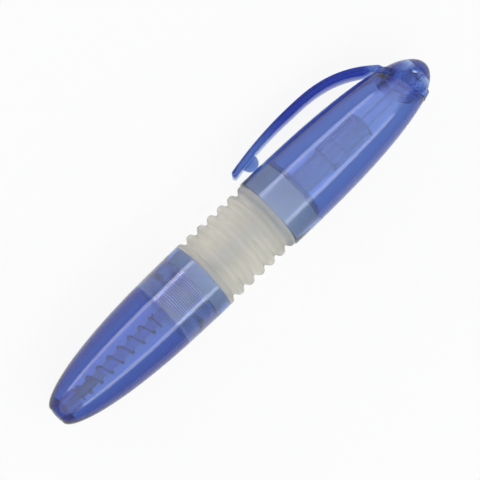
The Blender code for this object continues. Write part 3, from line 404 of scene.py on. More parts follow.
class PenStage(bpy.types.PropertyGroup):
    """Camera, floor and light."""

    yaw: turn("Yaw", 8.5, "How far the nose is turned to the camera")
    elevation: turn("Elevation", 70.5, "How high the camera stands over the pen's side")
    roll: turn("Roll", 43.66, "Slope of the pen in the picture")
    aim_along: FloatProperty(name="Aim along", description="How far along the pen the camera aims",
                             default=-0.95 * MM, precision=5, unit="LENGTH")
    aim_across: FloatProperty(name="Aim across", description="How far the camera stands to the clip's side",
                              default=0.19 * MM, precision=5, unit="LENGTH")
    distance: length("Distance", 700.0, "From the camera to the pen")
    near_end: length("Near end", 10.0, "Nearest distance that the camera sees")
    lens: FloatProperty(name="Lens", description="Focal length in millimetres", default=230.0, unit="CAMERA")
    bounces: IntProperty(name="Bounces", description="How often light may pass a surface", default=32, min=1)
    floor_size: length("Floor", 4000.0, "Side of the floor")
    floor_tint: tint("Floor tint", (0.92, 0.92, 0.92), "Pale floor")
    shadow_share: number("Shadow share", 0.1, "How much of the floor's own light and shadow shows")
    sky: number("Sky", 0.62, "Strength of the even light from all round")
    softbox: number("Softbox", 2.2, "Strength of the broad soft light round the camera")
    softbox_inner: turn("Softbox inner", 50.0, "Angle from the camera where that light starts to fade")
    softbox_outer: turn("Softbox outer", 75.0, "Angle from the camera where it ends")
    clip_light: tint("Light on the clip's side", (0.93, 0.86, 0.97), "Tint of the light from the clip's side")
    far_light: tint("Light on the far side", (0.93, 1.0, 1.0), "Tint of the light from the other side")
    strip_power: FloatProperty(name="Strip power", description="Power of each strip lamp", default=0.4,
                               unit="POWER")
    strip_offset: turn("Strip offset", 53.0, "Angle between each strip lamp and the camera")
    strip_distance: length("Strip distance", 400.0, "From the pen to each strip lamp")
    strip_length: length("Strip length", 500.0, "Length of each strip lamp")
    strip_width: length("Strip width", 80.0, "Width of each strip lamp")


def spread(start, end, count):
    """Evenly spaced values from start to end."""
    return [start + (end - start) * step / (count - 1) for step in range(count)]


def turned(outline, sides, on_axis=False):
    """Turn an outline about the pen's axis. A point is (station, radius) and, if soft, its rounding."""
    bm = bmesh.new()
    verts = []
    soft = {}
    for station, radius, *rounding in outline:
        vert = bm.verts.new((station, radius, 0.0))
        verts.append(vert)
        if rounding:
            soft.setdefault(rounding[0], []).append(vert)
    pairs = list(zip(verts, verts[1:]))
    if not on_axis:
        pairs.append((verts[-1], verts[0]))
    for pair in pairs:
        bm.edges.new(pair)
    for rounding, corners in soft.items():
        bmesh.ops.bevel(bm, geom=corners, offset=rounding, offset_type="OFFSET", affect="VERTICES",
                        segments=ROUND_STEPS, profile=0.5, material=-1, clamp_overlap=True)
    bmesh.ops.spin(bm, geom=bm.verts[:] + bm.edges[:], cent=(0.0, 0.0, 0.0), axis=(1.0, 0.0, 0.0),
                   dvec=(0.0, 0.0, 0.0), angle=math.tau, steps=sides, use_merge=True)
    bmesh.ops.remove_doubles(bm, verts=bm.verts, dist=MERGE)
    bmesh.ops.recalc_face_normals(bm, faces=bm.faces)
    return bm


def carved(bm, cut):
    """Move each point of a turned shape to the station and radius that cut gives for it."""
    for vert in bm.verts:
        angle = math.atan2(vert.co.z, vert.co.y)
        station, radius = cut(vert.co.x, math.hypot(vert.co.y, vert.co.z), angle)
        vert.co = (station, radius * math.cos(angle), radius * math.sin(angle))
    return bm


def extruded(outline, width):
    """Extrude a closed outline of (station, reach) points to both sides of the clip's plane."""
    bm = bmesh.new()
    verts = [bm.verts.new((station, reach, -width / 2)) for station, reach in outline]
    face = bm.faces.new(verts)
    grown = bmesh.ops.extrude_face_region(bm, geom=[face])
    moved = [item for item in grown["geom"] if isinstance(item, bmesh.types.BMVert)]
    bmesh.ops.translate(bm, verts=moved, vec=(0.0, 0.0, width))
    bmesh.ops.recalc_face_normals(bm, faces=bm.faces)
    return bm


def meshed(name, bm, smooth_angle=SHARP_ANGLE):
    """Put a bmesh of the pen's own frame into the room as a smooth mesh."""
    bmesh.ops.transform(bm, matrix=PEN_FRAME, verts=bm.verts)
    mesh = bpy.data.meshes.new(name)
    bm.to_mesh(mesh)
    bm.free()
    mesh.shade_smooth()
    mesh.set_sharp_from_angle(angle=math.radians(smooth_angle))
    return mesh


def shown(name, mesh, material, slot, *nodes):
    """Show a mesh as the piece that stands for the given nodes."""
    mesh.materials.append(material)
    piece = bpy.data.objects.new(name, mesh)
    bpy.context.scene.collection.objects.link(piece)
    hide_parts(*nodes)
    return piece


def cut_or_joined(first, second, operation):
    """Mesh of a Boolean of two meshes in the room."""
    base = bpy.data.objects.new("boolean_base", first)
    tool = bpy.data.objects.new("boolean_tool", second)
    for helper in (base, tool):
        bpy.context.scene.collection.objects.link(helper)
    boolean = base.modifiers.new("boolean", "BOOLEAN")
    boolean.operation = operation
    boolean.object = tool
    graph = bpy.context.evaluated_depsgraph_get()
    result = bpy.data.meshes.new_from_object(base.evaluated_get(graph))
    for helper in (base, tool):
        bpy.data.objects.remove(helper)
    return result


def within(angle, count, middle, half):
    """Whether an angle lies on one of count features set evenly round the axis."""
    pitch = math.tau / count
    offset = (angle - middle + pitch / 2) % pitch - pitch / 2
    return abs(offset) < half


def nose_radius(nose, station):
    """Outer radius of the nose barrel, a blunt ogive."""
    behind = max(0.0, (NOSE_REAR - station) / NOSE_REAR)
    swell = max(0.0, 1.0 - behind ** nose.fullness) ** (1.0 / nose.sharpness)
    return nose.flat_radius + (nose.radius - nose.flat_radius) * swell


def thread(nose, front, rear, base):
    """Outline of the thread between two stations, on a base radius."""
    turns = int((rear - front) / nose.thread_pitch)
    lead = (rear - front - turns * nose.thread_pitch) / 2
    outline = []
    for at in range(turns):
        start = front + lead + at * nose.thread_pitch
        for along, depth in THREAD_TURN:
            outline.append((start + along * nose.thread_pitch, base - depth * nose.thread_depth))
    return outline


def upper_radius(upper, station):
    """Outer radius of the upper barrel, straight at first and then drawn in."""
    past = max(0.0, station - UPPER_FRONT - upper.straight)
    return upper.radius * math.sqrt(max(0.0, 1.0 - (past / upper.taper) ** upper.fullness))


def slanted(upper, reach):
    """Station of the upper barrel's slanted end at a reach towards the clip."""
    return upper.slant_station - upper.slant * reach


def upper_bore(upper, station):
    """Bore of the upper barrel behind the cuff of the bellows."""
    return upper_radius(upper, station) - upper.wall


def slant_end(upper, side, proud=0.0, lift=0.0):
    """Where the slanted end meets the shell on the clip's side (1) or away from it (-1)."""
    station = upper.slant_station
    for _ in range(SOLVE_STEPS):
        station = slanted(upper, side * (upper_radius(upper, station) + proud)) + lift
    return Vector((station, upper_radius(upper, station) + proud))


def neck_bore(upper):
    """Bore of the lip at the slanted end and of the ring on it."""
    return slant_end(upper, -1).y - upper.wall - upper.lip_height


def ring_lift(upper):
    """Distance along the pen that gives a seat's gap across the slanted end."""
    return SEAT_GAP * math.sqrt(1.0 + upper.slant ** 2)


def clip_reach(clip, station):
    """Reach of the arm's outer edge: a shallow bow in front of its crest, a late sweep behind it."""
    if station < clip.crest_station:
        ahead = (clip.crest_station - station) / (clip.crest_station - clip.tip_station)
        return clip.crest_reach - (clip.crest_reach - clip.tip_reach) * ahead ** 2
    behind = (station - clip.crest_station) / (clip.root_station - clip.crest_station)
    return clip.crest_reach - (clip.crest_reach - clip.root_reach) * behind ** clip.sweep


def clip_direction(clip, station):
    """Direction of the arm's outer edge towards its root."""
    rise = clip_reach(clip, station + SAME) - clip_reach(clip, station - SAME)
    return Vector((2 * SAME, rise)).normalized()


def clip_point(clip, station, depth):
    """Point that far below the arm's outer edge."""
    along = clip_direction(clip, station)
    return Vector((station, clip_reach(clip, station))) + depth * Vector((along.y, -along.x))


def arm_thickness(clip, station):
    """Thickness of the arm, thinner towards its tip."""
    ahead = max(0.0, (clip.crest_station - station) / (clip.crest_station - clip.tip_station))
    return clip.thickness + (clip.tip_thickness - clip.thickness) * ahead


def dome_radius(clip, station):
    """Outer radius of the dome over the ring."""
    rise = 1.0 - (PLUG_REAR - station) / clip.dome_height
    return clip.dome_radius * math.sqrt(max(0.0, 1.0 - max(0.0, rise) ** clip.dome_fullness))


def tooth_wave(count, angle):
    """Zigzag of the knock teeth, from 0 to 1 and back once a tooth."""
    share = (angle * count / math.tau) % 1.0
    return abs(share - 0.5) * 2.0


def node(tree, kind, **settings):
    """Add a node, with values for its inputs by name and for its properties."""
    made = tree.nodes.new(kind)
    for name, value in settings.items():
        if name in made.inputs:
            made.inputs[name].default_value = value
        else:
            setattr(made, name, value)
    return made


def feed(tree, value, slot):
    """Give an input what a socket puts out, or a plain value."""
    if isinstance(value, bpy.types.NodeSocket):
        tree.links.new(value, slot)
    else:
        slot.default_value = value


def math_node(tree, operation, first, second=0.0):
    """Math of two sockets or numbers."""
    made = node(tree, "ShaderNodeMath", operation=operation)
    feed(tree, first, made.inputs[0])
    feed(tree, second, made.inputs[1])
    return made.outputs[0]


def dot_node(tree, towards, direction):
    """How far a direction socket points a given way."""
    made = node(tree, "ShaderNodeVectorMath", operation="DOT_PRODUCT")
    feed(tree, towards, made.inputs[0])
    feed(tree, direction, made.inputs[1])
    return made.outputs["Value"]


def ramp_node(tree, value, low, high, start=0.0, end=1.0):
    """Smooth step from start, at a low value, to end, at a high one."""
    made = node(tree, "ShaderNodeMapRange", interpolation_type="SMOOTHSTEP")
    given = {"Value": value, "From Min": low, "From Max": high, "To Min": start, "To Max": end}
    for name, one in given.items():
        feed(tree, one, made.inputs[name])
    return made.outputs["Result"]


def mix_node(tree, share, first, second):
    """Mix of two colours, each a socket or a plain colour."""
    made = node(tree, "ShaderNodeMix", data_type="RGBA")
    sockets = {one.identifier: one for one in (*made.inputs, *made.outputs)}
    feed(tree, share, sockets["Factor_Float"])
    for name, colour in (("A_Color", first), ("B_Color", second)):
        feed(tree, colour if isinstance(colour, bpy.types.NodeSocket) else (*colour, 1.0), sockets[name])
    return sockets["Result_Color"]


def new_group(name, inputs, outputs):
    """New node group with named sockets. Gives its tree, inputs, outputs and the place on the object."""
    tree = bpy.data.node_groups.new(name, "ShaderNodeTree")
    for way, sockets in (("INPUT", inputs), ("OUTPUT", outputs)):
        for label, kind in sockets.items():
            tree.interface.new_socket(name=label, in_out=way, socket_type=kind)
    given = tree.nodes.new("NodeGroupInput").outputs
    result = tree.nodes.new("NodeGroupOutput").inputs
    where = tree.nodes.new("ShaderNodeTexCoord").outputs["Object"]
    return tree, given, result, where


def placed(tree, group, values):
    """Place a node group in a material, with values for its inputs by name."""
    made = tree.nodes.new("ShaderNodeGroup")
    made.node_tree = group
    for name, value in values.items():
        made.inputs[name].default_value = value
    return made


def routed(tree, slot, group, name):
    """Lead what feeds an input through the socket of that name of a placed group."""
    tree.links.new(slot.links[0].from_socket, group.inputs[name])
    tree.links.new(group.outputs[name], slot)


def surface_group(name, stretch, fine_scale):
    """Group for a worked surface: clouds in the colour and fine marks in roughness and height."""
    made = bpy.data.node_groups.get(name)
    if made is not None:
        return made
    inputs = {"Colour": COLOUR, "Shade": COLOUR, "Cloud scale": VALUE, "Roughness": VALUE,
              "Roughness spread": VALUE}
    outputs = {"Colour": COLOUR, "Roughness": VALUE, "Height": VALUE}
    tree, given, result, where = new_group(name, inputs, outputs)
    clouds = node(tree, "ShaderNodeTexNoise", Detail=3.0, Roughness=0.55)
    feed(tree, where, clouds.inputs["Vector"])
    feed(tree, given["Cloud scale"], clouds.inputs["Scale"])
    share = ramp_node(tree, clouds.outputs["Fac"], *CLOUD_RANGE)
    feed(tree, mix_node(tree, share, given["Colour"], given["Shade"]), result["Colour"])
    drawn = node(tree, "ShaderNodeMapping", Scale=stretch)
    feed(tree, where, drawn.inputs["Vector"])
    marks = node(tree, "ShaderNodeTexNoise", Scale=fine_scale, Detail=2.0, Roughness=0.6)
    feed(tree, drawn.outputs["Vector"], marks.inputs["Vector"])
    swing = math_node(tree, "SUBTRACT", marks.outputs["Fac"], NOISE_MIDDLE)
    swing = math_node(tree, "MULTIPLY", swing, given["Roughness spread"])
    feed(tree, math_node(tree, "ADD", given["Roughness"], swing), result["Roughness"])
    feed(tree, marks.outputs["Fac"], result["Height"])
    return tree


def along_group():
    """Group that changes a colour from one station of the pen to another."""
    made = bpy.data.node_groups.get("along_pen")
    if made is not None:
        return made
    inputs = {"Colour": COLOUR, "Other": COLOUR, "Start": VALUE, "End": VALUE}
    tree, given, result, where = new_group("along_pen", inputs, {"Colour": COLOUR})
    apart = node(tree, "ShaderNodeSeparateXYZ")
    feed(tree, where, apart.inputs["Vector"])
    station = math_node(tree, "SUBTRACT", apart.outputs["X"], PEN_ORIGIN.x)
    share = ramp_node(tree, station, given["Start"], given["End"])
    feed(tree, mix_node(tree, share, given["Colour"], given["Other"]), result["Colour"])
    return tree


def ring_group():
    """Group for the nose: its grip's fine rings, with painted shade and extra gloss in places, and its matte
    mouth.
    """
    made = bpy.data.node_groups.get("grip_rings")
    if made is not None:
        return made
    nose = bpy.context.scene.pen_nose
    inputs = {"Colour": COLOUR, "Line": COLOUR, "Roughness": VALUE, "Matte": VALUE, "Coat": VALUE,
              "Ring coat": VALUE}
    outputs = {"Colour": COLOUR, "Roughness": VALUE, "Coat": VALUE}
    tree, given, result, where = new_group("grip_rings", inputs, outputs)
    apart = node(tree, "ShaderNodeSeparateXYZ")
    feed(tree, where, apart.inputs["Vector"])
    front = CONNECTOR_FRONT - SEAT_GAP
    rear = CUFF_FRONT - SEAT_GAP
    past = math_node(tree, "SUBTRACT", apart.outputs["X"], PEN_ORIGIN.x + front)
    inside = math_node(tree, "MULTIPLY", math_node(tree, "GREATER_THAN", past, 0.0),
                       math_node(tree, "LESS_THAN", past, rear - front))
    patches = node(tree, "ShaderNodeTexNoise", Scale=PATCH_SCALE, Detail=2.0)
    feed(tree, where, patches.inputs["Vector"])
    strong = ramp_node(tree, patches.outputs["Fac"], *PATCH_RANGE, start=PATCH_FLOOR)
    ringed = math_node(tree, "MULTIPLY", inside, strong)

    # Painted shade: a darker colour mixed in along the middle of each fine ring, for the shade in its groove.
    near = math_node(tree, "PINGPONG", past, nose.ring_pitch / 2)
    line = ramp_node(tree, near, *[nose.ring_pitch / 2 - share * nose.ring_half for share in LINE_RANGE])
    share = math_node(tree, "MULTIPLY", line, ringed)
    feed(tree, mix_node(tree, share, given["Colour"], given["Line"]), result["Colour"])

    squares = []
    for axis, middle in (("Y", PEN_ORIGIN.y), ("Z", PEN_ORIGIN.z)):
        off = math_node(tree, "SUBTRACT", apart.outputs[axis], middle)
        squares.append(math_node(tree, "MULTIPLY", off, off))
    radius = math_node(tree, "SQRT", math_node(tree, "ADD", *squares))
    mouth = math_node(tree, "MULTIPLY", math_node(tree, "LESS_THAN", past, nose.floor + SEAT_GAP - front),
                      math_node(tree, "LESS_THAN", radius, MOUTH_REACH * nose.flat_radius))
    matte = math_node(tree, "MULTIPLY", mouth, given["Matte"])
    feed(tree, math_node(tree, "ADD", given["Roughness"], matte), result["Roughness"])

    extra = math_node(tree, "SUBTRACT", given["Ring coat"], given["Coat"])
    raised = math_node(tree, "MULTIPLY", ringed, extra)
    feed(tree, math_node(tree, "ADD", given["Coat"], raised), result["Coat"])
    return tree


def moulded_group():
    """Moulded plastic: slow flow clouds, fine polishing marks along the pen."""
    return surface_group("moulded_surface", stretch=(0.1, 1.0, 1.0), fine_scale=6000.0)


def turned_group():
    """Turned or drawn metal: fine marks round the pen's axis."""
    return surface_group("turned_surface", stretch=(1.0, 0.05, 0.05), fine_scale=9000.0)


def finished(name, group, colour, shade, roughness, spread_by, cloud_scale, bump):
    """Material whose colour, roughness and relief come from a surface group. Gives its shader too."""
    material = bpy.data.materials.new(FINISH_PREFIX + name)
    material.use_nodes = True
    tree = material.node_tree
    shader = tree.nodes["Principled BSDF"]
    surface = placed(tree, group, {"Colour": (*colour, 1.0), "Shade": (*shade, 1.0), "Roughness": roughness,
                                   "Roughness spread": spread_by, "Cloud scale": cloud_scale})
    feed(tree, surface.outputs["Colour"], shader.inputs["Base Color"])
    feed(tree, surface.outputs["Roughness"], shader.inputs["Roughness"])
    relief = node(tree, "ShaderNodeBump", Strength=bump, Distance=RELIEF)
    feed(tree, surface.outputs["Height"], relief.inputs["Height"])
    feed(tree, relief.outputs["Normal"], shader.inputs["Normal"])
    return material, shader


def retinted(material, other, start, end):
    """Change a material's colour to another one past two stations of the pen."""
    tree = material.node_tree
    zone = placed(tree, along_group(), {"Other": (*other, 1.0), "Start": start, "End": end})
    routed(tree, tree.nodes["Principled BSDF"].inputs["Base Color"], zone, "Colour")


def see_through(name, colour, shade, depth, density, clear, index, roughness):
    """See-through plastic, which colours light by the way it goes in it and lets the share clear through."""
    material, shader = finished(name, moulded_group(), colour, shade, roughness, spread_by=0.01,
                                cloud_scale=220.0, bump=0.03)
    shader.inputs["Transmission Weight"].default_value = clear
    shader.inputs["IOR"].default_value = index
    tree = material.node_tree
    absorb = node(tree, "ShaderNodeVolumeAbsorption", Color=(*depth, 1.0), Density=density)
    feed(tree, absorb.outputs["Volume"], tree.nodes["Material Output"].inputs["Volume"])
    return material


def blue_plastic(name, density, index, roughness):
    """See-through blue of the barrels, the clip and the end plug."""
    finish = bpy.context.scene.pen_finish
    return see_through(name, finish.shell, finish.shell_shade, finish.shell_depth, density,
                       finish.shell_clear, index, roughness)


def polished_blue(name, density):
    """The blue with a low index, which traps less light in thick places, and a coat for its gloss."""
    finish = bpy.context.scene.pen_finish
    material = blue_plastic(name, density, finish.shell_index, finish.shell_roughness)
    shader = material.node_tree.nodes["Principled BSDF"]
    shader.inputs["Coat Weight"].default_value = finish.shell_coat
    shader.inputs["Coat IOR"].default_value = finish.coat_index
    return material


def blue_shell():
    """Polished see-through blue of the upper barrel."""
    return polished_blue("blue_shell", bpy.context.scene.pen_finish.shell_density)


def blue_plug():
    """The lighter blue of the end plug."""
    return polished_blue("blue_plug", bpy.context.scene.pen_finish.plug_density)


def blue_grip():
    """The blue of the nose, with the fine rings of its grip and their painted shade."""
    finish = bpy.context.scene.pen_finish
    material = polished_blue("blue_grip", finish.shell_density)
    tree = material.node_tree
    shader = tree.nodes["Principled BSDF"]
    rings = placed(tree, ring_group(), {"Line": (*finish.ring_line, 1.0), "Matte": finish.mouth_matte,
                                        "Coat": finish.shell_coat, "Ring coat": finish.ring_coat})
    routed(tree, shader.inputs["Base Color"], rings, "Colour")
    routed(tree, shader.inputs["Roughness"], rings, "Roughness")
    feed(tree, rings.outputs["Coat"], shader.inputs["Coat Weight"])
    return material


def blue_clip():
    """The blue of the clip, deeper in its arm than in its ring, and pale towards the tip."""
    finish = bpy.context.scene.pen_finish
    clip = bpy.context.scene.pen_clip
    material = blue_plastic("blue_clip", finish.clip_density, finish.clip_index, finish.clip_roughness)
    retinted(material, finish.arm, clip.arm_root + clip.thickness, clip.arm_root)
    retinted(material, finish.arm_front, clip.crest_station, clip.pad_station)
    return material


def clear_resin():
    """Clear inner mouldings, slightly grey."""
    finish = bpy.context.scene.pen_finish
    return see_through("clear_resin", finish.resin, finish.resin_shade, finish.resin_depth,
                       finish.resin_density, finish.resin_clear, finish.resin_index, finish.resin_roughness)


def blue_ink():
    """Ink in the tube."""
    finish = bpy.context.scene.pen_finish
    return see_through("blue_ink", finish.ink, finish.ink_shade, finish.ink_depth, finish.ink_density,
                       finish.ink_clear, finish.ink_index, finish.ink_roughness)


def milky_silicone():
    """Milky soft sleeve that light goes through, with painted light in its cuffs: a lighter colour for the
    light that comes through them.
    """
    finish = bpy.context.scene.pen_finish
    material, shader = finished("milky_silicone", moulded_group(), finish.silicone, finish.silicone_shade,
                                finish.silicone_roughness, spread_by=0.15, cloud_scale=180.0, bump=0.2)
    # Painted light: a lighter colour in both cuffs, standing in for the light that comes through them.
    retinted(material, finish.silicone_clean, NOSE_REAR, NOSE_REAR - SEAT_GAP)
    retinted(material, finish.silicone_clean, UPPER_FRONT, UPPER_FRONT + SEAT_GAP)
    shader.inputs["Transmission Weight"].default_value = finish.silicone_clear
    shader.inputs["IOR"].default_value = finish.silicone_index
    return material


def white_resin():
    """Natural white moulding of rod and rotor."""
    finish = bpy.context.scene.pen_finish
    material, shader = finished("white_resin", moulded_group(), finish.white, finish.white_shade,
                                finish.white_roughness, spread_by=0.1, cloud_scale=400.0, bump=0.15)
    shader.inputs["Subsurface Weight"].default_value = finish.white_sink
    shader.inputs["Subsurface Scale"].default_value = finish.white_sink_depth
    return material


def metal(name, colour, shade, roughness):
    """Turned or drawn metal."""
    material, shader = finished(name, turned_group(), colour, shade, roughness, spread_by=0.15,
                                cloud_scale=900.0, bump=0.3)
    shader.inputs["Metallic"].default_value = 1.0
    return material


def nickel_silver():
    """Turned nickel silver of the writing point."""
    finish = bpy.context.scene.pen_finish
    return metal("nickel_silver", finish.nickel, finish.nickel_shade, finish.nickel_roughness)


def spring_steel():
    """Bright drawn wire."""
    finish = bpy.context.scene.pen_finish
    return metal("spring_steel", finish.steel, finish.steel_shade, finish.steel_roughness)


def carbide():
    """Polished hard ball."""
    finish = bpy.context.scene.pen_finish
    return metal("carbide", finish.steel, finish.steel_shade, finish.steel_roughness)


def shared(make):
    """Material by the name of its maker, made once."""
    return bpy.data.materials.get(FINISH_PREFIX + make.__name__) or make()


def modelled(name, bm, finish, slot, solid, smooth_angle=SHARP_ANGLE):
    """Show a bmesh of the pen's own frame as the piece that stands for one solid."""
    return shown(name, meshed(name, bm, smooth_angle), shared(finish), slot, solid)


class PEN_OT_nose(bpy.types.Operator):
    """Model the nose barrel, a hollow ogive with a guide sleeve for the spring and a threaded rear."""

    bl_idname = "pen.nose"
    bl_label = "Nose barrel"

    def execute(self, context):
        nose = context.scene.pen_nose
        cuff_seat = CUFF_FRONT - SEAT_GAP
        cuff_bore = nose.radius - nose.rim_wall
        thread_front = CONNECTOR_FRONT - SEAT_GAP
        outline = [(0.0, nose.mouth_radius, nose.edge), (0.0, nose.flat_radius, nose.flat_edge)]
        for step in spread(RIM_SHARE, 1.0, NOSE_STEPS)[:-1]:
            station = thread_front * (1.0 - math.cos(step * math.pi / 2))
            outline.append((station, nose_radius(nose, station)))
        outline += self.grip(nose, thread_front, cuff_seat)
        outline += [(NOSE_REAR, nose.radius, nose.edge), (NOSE_REAR, cuff_bore, nose.edge / 2),
                    (cuff_seat, cuff_bore), (cuff_seat, nose.thread_radius)]
        outline += reversed(thread(nose, thread_front, cuff_seat, nose.thread_radius))
        outline.append((thread_front, nose.thread_radius))
        for step in spread(0.0, 1.0, NOSE_HOLLOW_STEPS):
            station = nose.floor + (thread_front - nose.floor) * (1.0 - step) ** 2
            outline.append((station, nose_radius(nose, station) - nose.wall))
        outline[-1] = (*outline[-1], nose.floor_edge)
        outline += [(nose.floor, nose.sleeve_radius, nose.edge),
                    (nose.spring_seat, nose.sleeve_radius, nose.edge),
                    (nose.spring_seat, nose.throat_radius), (nose.mouth_length, nose.throat_radius),
                    (nose.mouth_length, nose.mouth_radius)]
        piece = modelled("nose_barrel_shell", turned(outline, SHELL_SIDES), blue_grip, "blue_shell",
                         "nose_barrel")
        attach(piece, "lower_body")
        return {"FINISHED"}

    def grip(self, nose, front, rear):
        """Outline of the grip zone with its fine rings."""
        outline = []
        for ring in range(int((rear - front) / nose.ring_pitch)):
            middle = front + (ring + 0.5) * nose.ring_pitch
            for offset, depth in ((-nose.ring_half, 0.0), (0.0, nose.ring_depth), (nose.ring_half, 0.0)):
                outline.append((middle + offset, nose_radius(nose, middle + offset) - depth))
        return outline


class PEN_OT_connector(bpy.types.Operator):
    """Model the threaded plug in the nose and the guide tube that it holds."""

    bl_idname = "pen.connector"
    bl_label = "Connector and guide tube"

    def execute(self, context):
        nose = context.scene.pen_nose
        bellows = context.scene.pen_bellows
        outer = nose.thread_radius - SEAT_GAP
        cuff_seat = CUFF_FRONT - SEAT_GAP
        shoulder = cuff_seat - SEAT_GAP
        spigot = nose.radius - nose.rim_wall - bellows.cuff_wall - 2 * SEAT_GAP
        floor = CONNECTOR_FRONT + nose.flange
        core = floor + nose.core_floor
        socket_outer = nose.socket_radius + nose.socket_wall
        spigot_bore = spigot - nose.spigot_wall
        outline = [(CONNECTOR_FRONT, nose.flange_bore), (CONNECTOR_FRONT, outer)]
        outline += thread(nose, CONNECTOR_FRONT - SEAT_GAP, cuff_seat, outer)
        outline += [(shoulder, outer), (shoulder, spigot), (CONNECTOR_REAR, spigot, nose.edge),
                    (CONNECTOR_REAR, spigot_bore, nose.edge), (core, spigot_bore, nose.edge),
                    (core, socket_outer, nose.edge), (CONNECTOR_REAR, socket_outer, nose.edge),
                    (CONNECTOR_REAR, nose.socket_radius, nose.edge), (floor, nose.socket_radius),
                    (floor, nose.flange_bore)]
        piece = modelled("connector_plug", turned(outline, SHELL_SIDES), clear_resin, "clear_resin",
                         "barrel_connector")
        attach(piece, "lower_body")

        bore = nose.guide_radius - nose.guide_wall
        outline = [(GUIDE_FRONT, bore, nose.edge), (GUIDE_FRONT, nose.guide_radius, nose.edge),
                   (GUIDE_REAR, nose.guide_radius, nose.edge), (GUIDE_REAR, bore, nose.edge)]
        piece = modelled("guide_tube_sleeve", turned(outline, SMALL_SIDES), clear_resin, "clear_resin",
                         "guide_tube")
        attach(piece, "lower_body")
        return {"FINISHED"}


class PEN_OT_bellows(bpy.types.Operator):
    """Model the soft sleeve with its soft folds and a cuff in each barrel."""

    bl_idname = "pen.bellows"
    bl_label = "Bellows"

    def execute(self, context):
        bellows = context.scene.pen_bellows
        nose = context.scene.pen_nose
        upper = context.scene.pen_upper
        front = NOSE_REAR + SEAT_GAP
        rear = UPPER_FRONT - SEAT_GAP
        front_cuff = nose.radius - nose.rim_wall - SEAT_GAP
        rear_cuff = upper.radius - upper.rim_wall - SEAT_GAP
        pitch = (rear - front - bellows.crest_land) / (bellows.ribs - 1)
        crests = [front + bellows.crest_land / 2 + pitch * rib for rib in range(bellows.ribs)]
        soft = bellows.rounding
        inner_trough = bellows.trough_radius - bellows.wall
        inner_crest = bellows.crest_radius - bellows.wall
        outline = [(CUFF_FRONT, front_cuff - bellows.cuff_wall), (CUFF_FRONT, front_cuff, soft / 2),
                   (front, front_cuff)]
        for rib, crest in enumerate(crests):
            outline += [(crest - bellows.crest_land / 2, bellows.crest_radius, soft),
                        (crest + bellows.crest_land / 2, bellows.crest_radius, soft)]
            if rib < bellows.ribs - 1:
                trough = crest + pitch / 2
                outline += [(trough - bellows.trough_land / 2, bellows.trough_radius, soft),
                            (trough + bellows.trough_land / 2, bellows.trough_radius, soft)]
        outline += [(rear, rear_cuff), (CUFF_REAR, rear_cuff, soft / 2),
                    (CUFF_REAR, rear_cuff - bellows.cuff_wall), (rear, rear_cuff - bellows.cuff_wall)]
        for rib in reversed(range(1, bellows.ribs - 1)):
            outline += [(crests[rib] + pitch / 2, inner_trough, soft), (crests[rib], inner_crest, soft)]
        outline += [(crests[0] + pitch / 2, inner_trough, soft),
                    (CONNECTOR_REAR + SEAT_GAP, front_cuff - bellows.cuff_wall)]
        piece = modelled("bellows_sleeve", turned(outline, SHELL_SIDES), milky_silicone, "milky_silicone",
                         "bellows", SOFT_ANGLE)
        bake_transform(piece)
        return {"FINISHED"}


class PEN_OT_upper_barrel(bpy.types.Operator):
    """Model the upper barrel with its slanted end, and the bush that holds the rear cuff in it."""

    bl_idname = "pen.upper_barrel"
    bl_label = "Upper barrel and bush"

    def execute(self, context):
        upper = context.scene.pen_upper
        nose = context.scene.pen_nose
        bellows = context.scene.pen_bellows
        bend = UPPER_FRONT + upper.straight
        seat = UPPER_FRONT + upper.cuff
        bore = upper.radius - upper.wall
        cuff_bore = upper.radius - upper.rim_wall
        neck = neck_bore(upper)
        lip = upper.slant_station - upper.lip_length
        lean_start = slant_end(upper, 1).x - upper.lip_length - upper.lean_margin
        outline = [(UPPER_FRONT, cuff_bore, upper.edge / 2), (UPPER_FRONT, upper.radius, upper.edge)]
        outer = spread(bend, lean_start, UPPER_STEPS)
        outer += spread(lean_start, upper.slant_station, LEAN_STEPS)[1:]
        outline += [(station, upper_radius(upper, station)) for station in outer]
        outline += [(upper.slant_station, neck), (lip, neck), (lip, upper_bore(upper, lip))]
        bored = spread(lean_start, seat, UPPER_BORE_STEPS)
        outline += [(station, upper_bore(upper, station)) for station in bored]
        outline.append((seat, cuff_bore))

        def lean(station, radius, angle):
            """Slant the end, and let the shell in front of it follow."""
            if station <= lean_start + SAME:
                return station, radius
            if radius < neck + SAME:
                return station - upper.slant * radius * math.cos(angle), radius
            profile = upper_radius if radius > upper_bore(upper, station) + SAME else upper_bore
            end = lip if profile is upper_bore else upper.slant_station
            share = (station - lean_start) / (end - lean_start)
            moved = station
            for _ in range(SOLVE_STEPS):
                foot = end - upper.slant * profile(upper, moved) * math.cos(angle)
                moved = lean_start + share * (foot - lean_start)
            return moved, profile(upper, moved)

        shell = carved(turned(outline, SHELL_SIDES), lean)
        piece = modelled("upper_barrel_shell", shell, blue_shell, "blue_shell", "upper_barrel")
        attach(piece, "upper_body")

        sleeve = cuff_bore - bellows.cuff_wall - 2 * SEAT_GAP
        flange = BUSH_REAR - upper.bush_flange
        rim = bore - SEAT_GAP
        guide = nose.guide_radius + SLIDE_GAP
        web = BUSH_REAR - upper.bush_web
        outline = [(BUSH_FRONT, sleeve - upper.bush_wall, upper.edge), (BUSH_FRONT, sleeve, upper.edge),
                   (flange, sleeve), (flange, rim, upper.edge), (BUSH_REAR, rim, upper.edge),
                   (BUSH_REAR, guide, upper.edge), (web, guide), (web, sleeve - upper.bush_wall)]
        piece = modelled("bellows_bush_ring", turned(outline, SHELL_SIDES), clear_resin, "clear_resin",
                         "bellows_bush")
        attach(piece, "upper_body")
        return {"FINISHED"}


